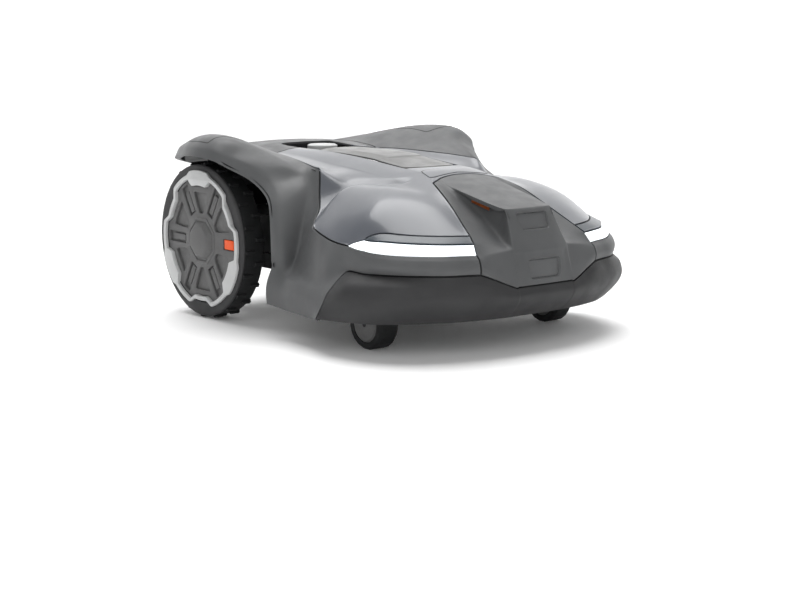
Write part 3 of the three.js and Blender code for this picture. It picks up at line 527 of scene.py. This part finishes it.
def new_material(name):
    material = bpy.data.materials.new(name)
    material.use_nodes = True
    tree = material.node_tree
    shader = tree.nodes["Principled BSDF"]
    return material, tree, shader


def put(target, inputs):
    """Gives a node's inputs their values, or links them to the outputs that feed them."""
    for name, value in inputs.items():
        if isinstance(value, bpy.types.NodeSocket):
            target.id_data.links.new(value, target.inputs[name])
        else:
            target.inputs[name].default_value = value


def node(tree, kind, **values):
    made = tree.nodes.new(kind)
    for name, value in values.items():
        setattr(made, name, value)
    return made


def object_place(tree):
    return node(tree, "ShaderNodeTexCoord").outputs["Object"]


def noise(tree, scale, detail=3.0, roughness=0.55):
    made = node(tree, "ShaderNodeTexNoise")
    put(made, {"Vector": object_place(tree), "Scale": scale, "Detail": detail,
               "Roughness": roughness})
    return made.outputs["Fac"]


def ramp(tree, source, low, high, start=0.35, end=0.65):
    """The source remapped to run from low to high."""
    made = node(tree, "ShaderNodeMapRange")
    put(made, {"Value": source, "From Min": start, "From Max": end, "To Min": low, "To Max": high})
    return made.outputs["Result"]


def mix(tree, factor, first, second):
    """Two colours mixed by a factor."""
    made = node(tree, "ShaderNodeMix", data_type="RGBA")
    put(made, {"Factor": factor, "A": first, "B": second})
    return made.outputs["Result"]


def shade(colour, factor):
    return tuple(min(1.0, value * factor) for value in colour[:3]) + (1.0,)


def srgb(red, green, blue):
    """A display colour from 0 to 255 as a linear one."""
    def linear(value):
        value /= 255
        return value / 12.92 if value <= 0.04045 else ((value + 0.055) / 1.055) ** 2.4
    return (linear(red), linear(green), linear(blue), 1.0)


def edge_mask(tree, start, end):
    """1 on convex edges, 0 elsewhere."""
    shape = node(tree, "ShaderNodeNewGeometry")
    return ramp(tree, shape.outputs["Pointiness"], 0.0, 1.0, start, end)


def bump(tree, height, strength, distance):
    made = node(tree, "ShaderNodeBump")
    put(made, {"Height": height, "Strength": strength, "Distance": distance})
    return made.outputs["Normal"]


def moulded(name, colour, rough, grain=0.25, wear=0.25):
    """Grained moulded plastic: mottled colour, uneven roughness, paler edges, fine texture."""
    material, tree, shader = new_material(name)
    base = mix(tree, ramp(tree, noise(tree, 14.0), 0, 1), shade(colour, 0.94), shade(colour, 1.06))
    worn = node(tree, "ShaderNodeMath", operation="MULTIPLY")
    put(worn, {0: edge_mask(tree, 0.52, 0.60), 1: ramp(tree, noise(tree, 90.0, 6.0, 0.7), 0.0, wear)})
    put(shader, {
        "Base Color": mix(tree, worn.outputs[0], base, shade(colour, 1.7)),
        "Roughness": ramp(tree, noise(tree, 40.0, 5.0), rough - 0.06, rough + 0.06),
        "Specular IOR Level": 0.3,
        "Normal": bump(tree, noise(tree, 1800.0, 2.0), grain, 0.00012),
    })
    return material


def lacquer(name, colour, rough, coat):
    """Glossy lacquered plastic with a faint orange peel and a slightly uneven gloss."""
    material, tree, shader = new_material(name)
    cloud = ramp(tree, noise(tree, 9.0), 0, 1)
    put(shader, {
        "Base Color": mix(tree, cloud, shade(colour, 0.96), shade(colour, 1.05)),
        "Roughness": ramp(tree, noise(tree, 60.0, 8.0, 0.75), rough - 0.015, rough + 0.03),
        "Coat Weight": coat,
        "Coat Roughness": 0.1,
        "Specular IOR Level": 0.4,
        "Normal": bump(tree, noise(tree, 700.0, 2.0), 0.06, 0.0001),
    })
    return material


def rubber(name, colour):
    """Black rubber with dusty patches and a fine mould texture."""
    material, tree, shader = new_material(name)
    dust = ramp(tree, noise(tree, 55.0, 7.0, 0.7), 0.0, 0.35, 0.5, 0.75)
    put(shader, {
        "Base Color": mix(tree, dust, colour, shade(colour, 2.2)),
        "Roughness": ramp(tree, noise(tree, 30.0, 5.0), 0.62, 0.82),
        "Specular IOR Level": 0.35,
        "Normal": bump(tree, noise(tree, 1300.0, 3.0), 0.35, 0.00015),
    })
    return material


def metal(name, colour, rough=0.3):
    """Worn metal with stretched brush marks."""
    material, tree, shader = new_material(name)
    stretch = node(tree, "ShaderNodeMapping")
    put(stretch, {"Vector": object_place(tree), "Scale": (1.0, 1.0, 14.0)})
    brushed = node(tree, "ShaderNodeTexNoise")
    put(brushed, {"Vector": stretch.outputs["Vector"], "Scale": 60.0, "Detail": 6.0})
    marks = brushed.outputs["Fac"]
    put(shader, {
        "Base Color": mix(tree, ramp(tree, marks, 0, 1), shade(colour, 0.85), shade(colour, 1.1)),
        "Roughness": ramp(tree, marks, rough - 0.08, rough + 0.12),
        "Metallic": 1.0,
        "Normal": bump(tree, marks, 0.12, 0.0001),
    })
    return material


def glowing(name):
    """A white light guide with a faint pattern of cells."""
    material, tree, shader = new_material(name)
    cells = noise(tree, 500.0, 2.0)
    put(shader, {
        "Base Color": mix(tree, ramp(tree, cells, 0, 1), (0.86, 0.94, 1.0, 1), (1, 1, 1, 1)),
        "Roughness": 0.2,
        "Emission Color": (0.93, 0.975, 1.0, 1.0),
        "Emission Strength": 0.9,
        "Coat Weight": 0.4,
        "Normal": bump(tree, cells, 0.05, 0.0001),
    })
    return material


def circuit(name):
    """Green solder mask with a faint pattern of tracks."""
    material, tree, shader = new_material(name)
    tracks = node(tree, "ShaderNodeTexBrick")
    put(tracks, {"Vector": object_place(tree), "Scale": 260.0, "Color1": (0.012, 0.09, 0.045, 1),
                 "Color2": (0.015, 0.12, 0.06, 1), "Mortar": (0.03, 0.2, 0.11, 1)})
    put(shader, {"Base Color": tracks.outputs["Color"],
                 "Roughness": ramp(tree, noise(tree, 80.0), 0.25, 0.4)})
    return material


LOOKS = {
    "body_grey": moulded("body_grey", srgb(84, 85, 86), 0.5),
    "bumper_grey": moulded("bumper_grey", srgb(51, 51, 52), 0.55, grain=0.35),
    "hood_gloss": lacquer("hood_gloss", srgb(84, 87, 93), 0.3, 0.25),
    "hatch_grey": moulded("hatch_grey", srgb(104, 104, 103), 0.4, grain=0.15),
    "smoked": lacquer("smoked", srgb(44, 52, 60), 0.34, 0.1),
    "light": glowing("light"),
    "window_grey": moulded("window_grey", srgb(88, 89, 90), 0.42, grain=0.1, wear=0.1),
    "dark_plastic": moulded("dark_plastic", srgb(28, 29, 30), 0.6),
    "cover_grey": moulded("cover_grey", srgb(92, 92, 92), 0.48, wear=0.35),
    "accent_grey": moulded("accent_grey", srgb(190, 191, 191), 0.42, wear=0.1),
    "orange": moulded("orange", srgb(236, 88, 28), 0.42, wear=0.1),
    "tyre": rubber("tyre", srgb(27, 28, 29)),
    "steel": metal("steel", (0.56, 0.57, 0.58, 1)),
    "copper": metal("copper", srgb(196, 108, 62), 0.34),
    "motor_metal": moulded("motor_metal", srgb(38, 40, 42), 0.38, wear=0.6),
    "board": circuit("board"),
}

# ---------------------------------------------------------------- body panels

def body_panels():
    """The finished panels, and the whole outer surface for pieces that lie on it."""
    skin = Skin()
    for name, nets in PANELS.items():
        for net in nets:
            for side, sign in SIDES:
                skin.add(name.format(side=side), net, sign < 0)
    for line, weight in CREASES:
        skin.crease(line, weight)
    points, faces, owners = skin.build()
    normals = corner_normals(points, faces)
    pieces = {}
    for at, panel in enumerate(skin.panels):
        own = [face for face, owner in zip(faces, owners) if owner == at]
        solid = walled(points, normals, own, WALL, SEAM)
        piece = piece_from(panel + "_shell", *solid)
        pieces[panel] = finish_piece(piece, "outer_body", SLOTS[panel], (panel,))
    surface = BVHTree.FromPolygons([tuple(p) for p in points], faces)
    return pieces, surface, (points, normals, faces, owners, skin.panels)


def painted_seam_shade(whole):
    """Dark strips under every seam between two panels: painted shade in the seam gaps."""
    points, normals, faces, owners, _ = whole
    touched = {}
    for face, owner in zip(faces, owners):
        for v in face:
            touched.setdefault(v, set()).add(owner)
    near = {v for v, found in touched.items() if len(found) > 1}
    strip = [face for face in faces if any(v in near for v in face)]
    solid = walled(points, normals, strip, wall=1.0, gap=0.0, chamfer=0.05, lift=-WALL - 0.3)
    painted_shade_piece("painted_seam_shade", solid)


# ---------------------------------------------------------------- wheels

WHEEL_Y = 207
WHEEL_Z = 125
TYRE_INNER = 192
TREAD = 121
LUG_TOP = 125
LUGS = 20
LUG_PHASE = 4
MARKER_AT = 90
COVER_FLOOR = 225.8
COVER_FACE = 231.2
ACCENT_FACE = 236.8


def lathe(profile, sides):
    """Points and faces of a closed profile of (radius, height) turned about the local Z axis."""
    points, faces = [], []
    count = len(profile)
    for k in range(sides):
        angle = 2 * math.pi * k / sides
        for radius, height in profile:
            points.append((radius * math.cos(angle), radius * math.sin(angle), height))
    for k in range(sides):
        at, to = k * count, (k + 1) % sides * count
        for i in range(count):
            j = (i + 1) % count
            faces.append([at + i, to + i, to + j, at + j])
    return points, faces


def turned(name, profile, sides=96):
    """A turned solid. Profile points on the axis are merged into one."""
    return mesh_of(name, *lathe(profile, sides))


def tidy(mesh, merge=0.001):
    """Welds doubled points, drops empty faces and turns every face outward."""
    shape = bmesh.new()
    shape.from_mesh(mesh)
    bmesh.ops.remove_doubles(shape, verts=shape.verts, dist=merge)
    bmesh.ops.dissolve_degenerate(shape, dist=merge / 10, edges=shape.edges)
    bmesh.ops.recalc_face_normals(shape, faces=shape.faces)
    shape.to_mesh(mesh)
    shape.free()


def mesh_of(name, points, faces):
    mesh = bpy.data.meshes.new(name)
    mesh.from_pydata(points, [], faces)
    tidy(mesh)
    return mesh


def stacked(levels):
    """A closed solid through outlines of equally many points, one above the other."""
    count = len(levels[0])
    points = [point for level in levels for point in level]
    last = len(points) - count
    faces = [list(range(count))[::-1], list(range(last, last + count))]
    for at in range(0, last, count):
        for k in range(count):
            j = (k + 1) % count
            faces.append([at + k, at + j, at + j + count, at + k + count])
    return mesh_of("solid", points, faces)


def loft(lower, upper, low, high):
    """A closed solid between two flat outlines at two heights."""
    return stacked([[(u, v, low) for u, v in lower], [(u, v, high) for u, v in upper]])


def plate(name, outlines, low, high, bevel):
    """A flat plate between two heights, its outlines in the local XY plane, its edges rounded.
    The first outline is the outside; the others are holes."""
    curve = bpy.data.curves.new(name, "CURVE")
    curve.dimensions = "2D"
    curve.fill_mode = "BOTH"
    curve.extrude = (high - low) / 2 - bevel
    curve.bevel_depth = bevel
    curve.bevel_resolution = 2
    curve.offset = -bevel
    for outline in outlines:
        spline = curve.splines.new("POLY")
        spline.points.add(len(outline) - 1)
        for point, (u, v) in zip(spline.points, outline):
            point.co = (u, v, 0, 1)
        spline.use_cyclic_u = True
    piece = bpy.data.objects.new(name, curve)
    bpy.context.scene.collection.objects.link(piece)
    evaluated = piece.evaluated_get(bpy.context.evaluated_depsgraph_get())
    mesh = bpy.data.meshes.new_from_object(evaluated)
    bpy.data.objects.remove(piece)
    mesh.transform(Matrix.Translation((0, 0, (low + high) / 2)))
    tidy(mesh)
    return mesh


def joined(name, meshes):
    """Several meshes as one."""
    shape = bmesh.new()
    for mesh in meshes:
        shape.from_mesh(mesh)
    result = bpy.data.meshes.new(name)
    shape.to_mesh(result)
    shape.free()
    return result


def polar(radius, clock):
    """A point at a clock angle in degrees, 0 at the top and 90 towards the front."""
    angle = math.radians(clock)
    return (-radius * math.sin(angle), radius * math.cos(angle))


def arc(radius, start, end, step=3.0):
    count = max(1, round(abs(end - start) / step))
    return [polar(radius, start + (end - start) * k / count) for k in range(count + 1)]


def rounded(corners, radius, steps=4):
    """A closed outline with its corners rounded."""
    result = []
    for at, corner in enumerate(corners):
        corner = Vector(corner)
        back = Vector(corners[at - 1]) - corner
        ahead = Vector(corners[(at + 1) % len(corners)]) - corner
        reach = min(radius, back.length / 2.2, ahead.length / 2.2)
        first = corner + back.normalized() * reach
        last = corner + ahead.normalized() * reach
        for k in range(steps + 1):
            t = k / steps
            result.append(tuple(first * (1 - t) ** 2 + corner * 2 * t * (1 - t) + last * t ** 2))
    return result


def on_spoke(clock, near, far, half):
    """A rectangle along a spoke, from one radius to another."""
    angle = math.radians(clock)
    along = Vector((-math.sin(angle), math.cos(angle)))
    across = Vector((along.y, -along.x)) * half
    return [tuple(along * near - across), tuple(along * near + across),
            tuple(along * far + across), tuple(along * far - across)]


def star(pad, band, notch):
    """The outline of the accent: a wide pad every 120 degrees, a notch midway between two."""
    outline = []
    for turn in (0, 120, 240):
        outline += arc(pad, turn - 13, turn + 13)
        outline += arc(band, turn + 18, turn + 43)
        outline += arc(notch, turn + 50, turn + 70)
        outline += arc(band, turn + 77, turn + 102)
    return rounded(outline, 2.0, 2)


def wheel_frame(sign):
    """Local Z points outward along X, local Y up, local -X to the front, at the hub."""
    place = Matrix.Translation((0, WHEEL_Y * MM, WHEEL_Z * MM))
    turn = Matrix(((0, 0, sign, 0), (1, 0, 0, 0), (0, 1, 0, 0), (0, 0, 0, 1)))
    return place @ turn @ Matrix.Scale(MM, 4)


def wheel_piece(name, mesh, side, sign, slot, replaces=(), smooth_angle=30):
    mesh.transform(wheel_frame(sign))
    if sign < 0:
        mesh.flip_normals()
    piece = link(f"{name}_{side}", mesh, smooth_angle)
    return finish_piece(piece, f"drive_wheel_{side}", slot, replaces)


def tread_lug(clock, near, far):
    """One peg of the tread, standing on the tyre and tapering outward."""
    half, shrink = 3.0, 0.5
    angle = math.radians(clock)
    levels = []
    for radius, inset in ((TREAD - 1.5, 0.0), (LUG_TOP - 0.8, shrink), (LUG_TOP, shrink + 0.9)):
        level = []
        for height, across in ((near + inset, -1), (far - inset, -1), (far - inset, 1),
                               (near + inset, 1)):
            width = (half - inset) * across
            level.append((-radius * math.sin(angle) + width * math.cos(angle),
                          radius * math.cos(angle) + width * math.sin(angle), height))
        levels.append(level)
    return stacked(levels)


def cover_holes():
    """The slots and the sunken fields between the spokes. The marker's slot is the shorter one."""
    holes = []
    for turn in range(30, 360, 60):
        near, far = (62.0, 92.0) if turn == MARKER_AT else (47.0, 96.0)
        holes.append(rounded(on_spoke(turn, near, far, 8.6), 2.5))
    for turn in range(0, 360, 60):
        outer = 80.0 if turn % 120 == 0 else 83.0
        field = [polar(44, turn - 7), polar(44, turn + 7), polar(58, turn + 12.5),
                 polar(outer, turn + 15.5), polar(outer, turn - 15.5), polar(58, turn - 12.5)]
        holes.append(rounded(field, 3.5))
    return holes


def drive_wheel(side, sign):
    tyre = turned("tyre", [
        (96, 200), (104, 194), (112, TYRE_INNER), (117.5, 193), (120.4, 196), (TREAD, 200),
        (TREAD, 212), (TREAD, 223), (120.4, 226.5), (118.6, 228), (112, 228), (96.6, 226)], 128)
    lugs = []
    for k in range(LUGS):
        lugs.append(tread_lug(k * 360 / LUGS + LUG_PHASE, 212.5, 229.4))
        lugs.append(tread_lug((k + 0.5) * 360 / LUGS + LUG_PHASE, 194, 211))
    wheel_piece("tyre_rubber", joined("tyre", [tyre, *lugs]), side, sign, "tyre",
                (f"tyre_{side}",))

    sidewall = turned("sidewall", [
        (100, 228.4), (118.6, 228.4), (121.2, 229), (121.6, 230), (121.2, 231.4), (119.8, 232.4),
        (116, 232.9), (104, 232.4), (100, 232)], 128)
    wheel_piece("sidewall", sidewall, side, sign, "bumper_grey", smooth_angle=40)

    back = turned("back", [(0, 222.8), (98, 222.8), (98, 228.2), (99.6, 228.2), (99.6, 226.4),
                           (0, 226.4)], 96)
    spokes = plate("spokes", [star(87.4, 100.2, 89.2), *cover_holes()], COVER_FLOOR, COVER_FACE, 0.9)
    parts = [back, spokes]
    for turn in range(30, 360, 60):
        if turn != MARKER_AT:
            island = rounded(on_spoke(turn, 50.5, 85.0, 5.0), 1.5)
            parts.append(plate("island", [island], COVER_FLOOR, COVER_FACE - 1.4, 0.8))
    ring = turned("ring", [(0, 226), (40, 226), (40, 231.6), (38.6, 232.6), (35.5, 232.6),
                           (34, 230.6), (0, 230.6)], 8)
    boss = turned("boss", [(0, 230), (33.6, 230), (33.2, 231), (27.6, 236.6), (25.6, 238),
                           (23.6, 238.4), (0, 238.4)], 8)
    for mesh in (ring, boss):
        mesh.transform(Matrix.Rotation(math.radians(22.5), 4, "Z"))
        parts.append(mesh)
    wheel_piece("cover_face", joined("cover", parts), side, sign, "cover_grey",
                (f"wheel_cover_{side}",))

    accent = plate("accent", [star(112.5, 107.8, 96.6), star(88.2, 101.0, 90.0)], 228.6,
                   ACCENT_FACE, 1.1)
    wheel_piece("accent_ring", accent, side, sign, "accent_grey", (f"wheel_accent_{side}",))
    tag = plate("tag", [rounded(on_spoke(MARKER_AT, 64.5, 90.5, 7.6), 1.5)], 226.6, COVER_FACE - 0.6,
                0.8)
    wheel_piece("marker_tag", tag, side, sign, "orange", (f"wheel_marker_{side}",))


# ---------------------------------------------------------------- hatch

HINGE_Y = 142
HINGE_Z = 260
ARM_FROM_MIDDLE = 30
ARM_HALF_WIDTH = 6
PIN_HOLE = 2.1
EYE_RADIUS = 4.2


def hinge_arms():
    """The two arms that carry the lid, each with an eye round the hinge pin."""
    meshes = []
    for middle in (-ARM_FROM_MIDDLE, ARM_FROM_MIDDLE):
        low, high = middle - ARM_HALF_WIDTH, middle + ARM_HALF_WIDTH
        points, faces = lathe([(PIN_HOLE, low), (EYE_RADIUS, low), (EYE_RADIUS, high),
                               (PIN_HOLE, high)], 24)
        points = [(across, HINGE_Y + u, HINGE_Z + v) for u, v, across in points]
        outline = [(low, 126), (high, 126), (high, HINGE_Y - 3), (low, HINGE_Y - 3)]
        meshes += [mesh_of("eye", points, faces), loft(outline, outline, 258.5, 263)]
    mesh = joined("hinge_arms", meshes)
    mesh.transform(Matrix.Scale(MM, 4))
    finish_piece(link("hinge_arms", mesh), "hatch", "hatch_grey")


LID_CREASES = [(column(LID, 2, 0, 4), 0.55), (LID[3][:3], 0.75), (LID[4][:3], 0.5), (LID[0], 0.8)]


def hatch_lid():
    """The battery and key lid: a raised plateau that steps down towards its front."""
    skin = Skin()
    skin.add("lid", LID, False)
    skin.add("lid", LID, True)
    for line, weight in LID_CREASES:
        skin.crease(line, weight)
    points, faces, _ = skin.build(4)
    solid = walled(points, corner_normals(points, faces), faces, wall=2.5, gap=0.2, chamfer=0.5)
    finish_piece(piece_from("hatch_lid", *solid), "hatch", "hatch_grey", ("hatch",))


# ---------------------------------------------------------------- nose windows

# Each window's middle, the way it faces, its half widths at the top and bottom, and half height.
WINDOWS = {
    "radar_window": ((0, -311.6, 187), (0, -0.884, 0.467), 31, 27, 14),
    "sensor_window": ((0, -336.1, 120.5), (0, -0.992, 0.127), 32, 29.5, 14.5),
}


WINDOW_CORNER = 6.0
PAD_DEPTH = 3.0


def window_outline(top, bottom, tall, grow):
    corners = [(-bottom - grow, -tall - grow), (bottom + grow, -tall - grow),
               (top + grow, tall + grow), (-top - grow, tall + grow)]
    return rounded(corners, WINDOW_CORNER + grow, 6)


def leaning(middle, out):
    """Local X along X, local Z outward along out, local Y up the leaning face."""
    out = Vector(out).normalized()
    up = out.cross(Vector((1, 0, 0)))
    turn = Matrix(((1, up.x, out.x, 0), (0, up.y, out.y, 0), (0, up.z, out.z, 0), (0, 0, 0, 1)))
    return Matrix.Translation(Vector(middle) * MM) @ turn @ Matrix.Scale(MM, 4)


def carved(piece, cutters, smooth_angle=35):
    """The piece with the cutters' shapes taken out of it."""
    for cutter in cutters:
        modifier = piece.modifiers.new("carve", "BOOLEAN")
        modifier.object = cutter
        modifier.operation = "DIFFERENCE"
        modifier.solver = "EXACT"
    evaluated = piece.evaluated_get(bpy.context.evaluated_depsgraph_get())
    mesh = bpy.data.meshes.new_from_object(evaluated)
    piece.modifiers.clear()
    piece.data = mesh
    for cutter in cutters:
        bpy.data.objects.remove(cutter)
    mesh.set_sharp_from_angle(angle=math.radians(smooth_angle))


def nose_windows(nose):
    """A bevelled opening for each window, with a flat pad set back in it."""
    cutters = []
    for name, (middle, out, top, bottom, tall) in WINDOWS.items():
        place = leaning(middle, out)
        narrow = window_outline(top, bottom, tall, -3.5)
        wide = window_outline(top, bottom, tall, 4.5)
        cutter = loft(narrow, wide, -6, 6)
        cutter.transform(place)
        cutters.append(link("cutter", cutter))
        outline = window_outline(top, bottom, tall, -1.9)
        pad = plate("pad", [outline], -2 * PAD_DEPTH, -PAD_DEPTH, 0.6)
        pad.transform(place)
        finish_piece(link(name + "_pad", pad), "outer_body", "body_grey", (name,), "window_grey")
    carved(nose, cutters)


GRIP_MIDDLE = (0, 341, 155)
GRIP_HALF_WIDTH = 85
GRIP_HALF_HEIGHT = 30
SCREEN_HALF_WIDTH = 99
SCREEN_DEPTH = 50


def grip_opening(cover):
    """The opening in the rear cover, over the carry handle, and a dark screen behind it."""
    place = leaning(GRIP_MIDDLE, (0, 1, 0))
    across, tall = GRIP_HALF_WIDTH, GRIP_HALF_HEIGHT
    outline = rounded([(-across, -tall), (across, -tall), (across, tall), (-across, tall)], 12, 6)
    cutter = loft(outline, outline, -40, 20)
    cutter.transform(place)
    carved(cover, [link("cutter", cutter)])
    across, top, foot = SCREEN_HALF_WIDTH, -45, -10.2
    outline = rounded([(-across, top), (across, top), (across, foot), (-across, foot)], 0.5, 2)
    screen = loft(outline, outline, -SCREEN_DEPTH - 2, -SCREEN_DEPTH)
    screen.transform(place)
    finish_piece(link("grip_screen", screen), "outer_body", "dark_plastic")


# ---------------------------------------------------------------- plates on the skin

def draped(surface, net, flipped, corner, steps=14):
    """A fine grid over a three by three net, its corners rounded, laid onto the skin. The
    corner is the rounded share of a half side."""
    rows = [[Vector(mirrored(p) if flipped else p) for p in row] for row in net]

    def between(u, v):
        i, j = min(int(u), 1), min(int(v), 1)
        s, t = u - i, v - j
        upper = rows[i][j].lerp(rows[i][j + 1], t)
        lower = rows[i + 1][j].lerp(rows[i + 1][j + 1], t)
        return upper.lerp(lower, s)

    points = []
    for a in range(steps + 1):
        for b in range(steps + 1):
            u, v = 2 * a / steps - 1, 2 * b / steps - 1
            past_u, past_v = abs(u) - (1 - corner), abs(v) - (1 - corner)
            if past_u > 0 and past_v > 0:
                pull = max(past_u, past_v) / math.hypot(past_u, past_v)
                u = math.copysign(1 - corner + past_u * pull, u)
                v = math.copysign(1 - corner + past_v * pull, v)
            place = between(1 + u, 1 + v)
            points.append(tuple(surface.find_nearest(place)[0]))
    return np.array(points), grid_faces(steps + 1, steps + 1, flipped)


def plate_on_skin(name, surface, net, slot, node_name, corner, flipped=False):
    """A thin flush plate with painted shade round it: a dark sheet under the plate that shows in its
    fine gap.
    """
    points, faces = draped(surface, net, flipped, corner)
    normals = corner_normals(points, faces)
    # Painted shade: a dark sheet under the plate, seen in the gap round it.
    solid = walled(points, normals, faces, wall=1.0, gap=0.0, chamfer=0.15, lift=0.22)
    painted_shade_piece(name + "_shade_ring", solid)
    solid = walled(points, normals, faces, wall=1.0, gap=1.5, chamfer=0.25, lift=0.45)
    finish_piece(piece_from(name + "_plate", *solid), "outer_body", slot, (node_name,))


# ---------------------------------------------------------------- wheel arches

def through(points, steps=6):
    """A smooth line through the points."""
    points = [Vector(p) for p in points]
    ends = [points[0] * 2 - points[1], *points, points[-1] * 2 - points[-2]]
    line = []
    for at in range(1, len(ends) - 2):
        a, b, c, d = ends[at - 1:at + 3]
        for k in range(steps):
            t = k / steps
            line.append(0.5 * (b * 2 + (c - a) * t + (a * 2 - b * 5 + c * 4 - d) * t ** 2
                               + (b * 3 - a - c * 3 + d) * t ** 3))
    line.append(points[-1])
    return line


ARCH_DEPTHS = (1.0, 12.0, 26.0, 44.0)


def arch_shade_liner(side, sign):
    """The dark inside of the wheel arch, painted shade in the wheel well: a band that runs in from
    the arch's edge.
    """
    line = through(column(FENDER, 6, 1))
    points = np.array([((place.x - depth) * sign, place.y, place.z + 0.6)
                       for place in line for depth in ARCH_DEPTHS])
    faces = grid_faces(len(line), len(ARCH_DEPTHS), sign > 0)
    solid = walled(points, corner_normals(points, faces), faces, wall=1.5, gap=0.0, chamfer=0.2)
    painted_shade_piece(f"arch_shade_liner_{side}", solid)


def shade_lining(whole):
    """A dark inner skin under the fenders and flanks: painted shade inside the body, seen through its
    openings.
    """
    points, normals, faces, owners, panels = whole
    for side, _ in SIDES:
        at = panels.index(f"body_side_{side}")
        own = [face for face, owner in zip(faces, owners) if owner == at]
        solid = walled(points, normals, own, wall=0.8, gap=5.0, chamfer=0.2, lift=-WALL - 0.6)
        painted_shade_piece(f"flank_shade_skin_{side}", solid)


# ---------------------------------------------------------------- studio

# Lengths in metres.
FLOOR_REACH = 14.0
BACKDROP_AWAY = 5.0
BACKDROP_HALF_WIDTH = 9.0
BACKDROP_HEIGHT = 6.0
STAGE_WHITE = (0.9, 0.9, 0.9, 1)


def stage_plane(name, corners, glow):
    mesh = bpy.data.meshes.new(name)
    mesh.from_pydata(corners, [], [(0, 1, 2, 3)])
    plane = link(name, mesh)
    material, _, shader = new_material(name)
    put(shader, {"Base Color": STAGE_WHITE, "Roughness": 0.9, "Specular IOR Level": 0.1,
                 "Emission Color": (1, 1, 1, 1), "Emission Strength": glow})
    mesh.materials.append(material)


def add_sun(name, energy, softness, direction):
    sun = bpy.data.lights.new(name, "SUN")
    sun.energy = energy
    sun.angle = math.radians(softness)
    lamp = bpy.data.objects.new(name, sun)
    bpy.context.scene.collection.objects.link(lamp)
    lamp.rotation_euler = Vector(direction).to_track_quat("-Z", "Y").to_euler()


def studio():
    """A white room: a floor and a backdrop, a soft sun overhead, a fill from the camera's side and
    a pale sky."""
    reach = FLOOR_REACH
    floor = [(-reach, -reach, 0), (reach, -reach, 0), (reach, reach, 0), (-reach, reach, 0)]
    stage_plane("floor", floor, glow=0.03)
    azimuth = math.radians(CAMERA_AZIMUTH)
    ahead = Vector((-math.sin(azimuth), math.cos(azimuth), 0))
    across = Vector((ahead.y, -ahead.x, 0)) * BACKDROP_HALF_WIDTH
    middle = ahead * BACKDROP_AWAY
    rise = Vector((0, 0, BACKDROP_HEIGHT))
    wall = [middle - across, middle + across, middle + across + rise, middle - across + rise]
    stage_plane("backdrop", [tuple(corner) for corner in wall], glow=0.75)
    world = bpy.data.worlds.new("studio")
    bpy.context.scene.world = world
    world.use_nodes = True
    put(world.node_tree.nodes["Background"], {"Color": (1, 1, 1, 1), "Strength": 0.3})
    add_sun("sun", energy=3.1, softness=50, direction=(-0.18, -0.3, -1))
    add_sun("fill", energy=0.95, softness=60, direction=(ahead.x, ahead.y, -0.55))
    bpy.context.scene.view_settings.view_transform = "Standard"


add_camera()
studio()
panels, surface, whole = body_panels()
# Painted shade: dark strips under the seams between panels.
painted_seam_shade(whole)
# Painted shade: a dark skin inside the flanks.
shade_lining(whole)
nose_windows(panels["nose_housing"])
grip_opening(panels["rear_cover"])
hatch_lid()
hinge_arms()
whole_plate = [[mirrored(row[2]), row[0], row[2]] for row in PLATE]
plate_on_skin("name", surface, whole_plate, "hood_gloss", "nameplate", corner=0.3)
for wheel_side, wheel_sign in SIDES:
    drive_wheel(wheel_side, wheel_sign)
    arch_shade_liner(wheel_side, wheel_sign)
    plate_on_skin(f"cap_{wheel_side}", surface, CAP, "body_grey", f"fender_cap_{wheel_side}",
                  corner=0.12, flipped=wheel_sign < 0)

for name, slot in SLOTS.items():
    materials = frame["nodes"][name].data.materials
    materials.clear()
    materials.append(LOOKS[slot])
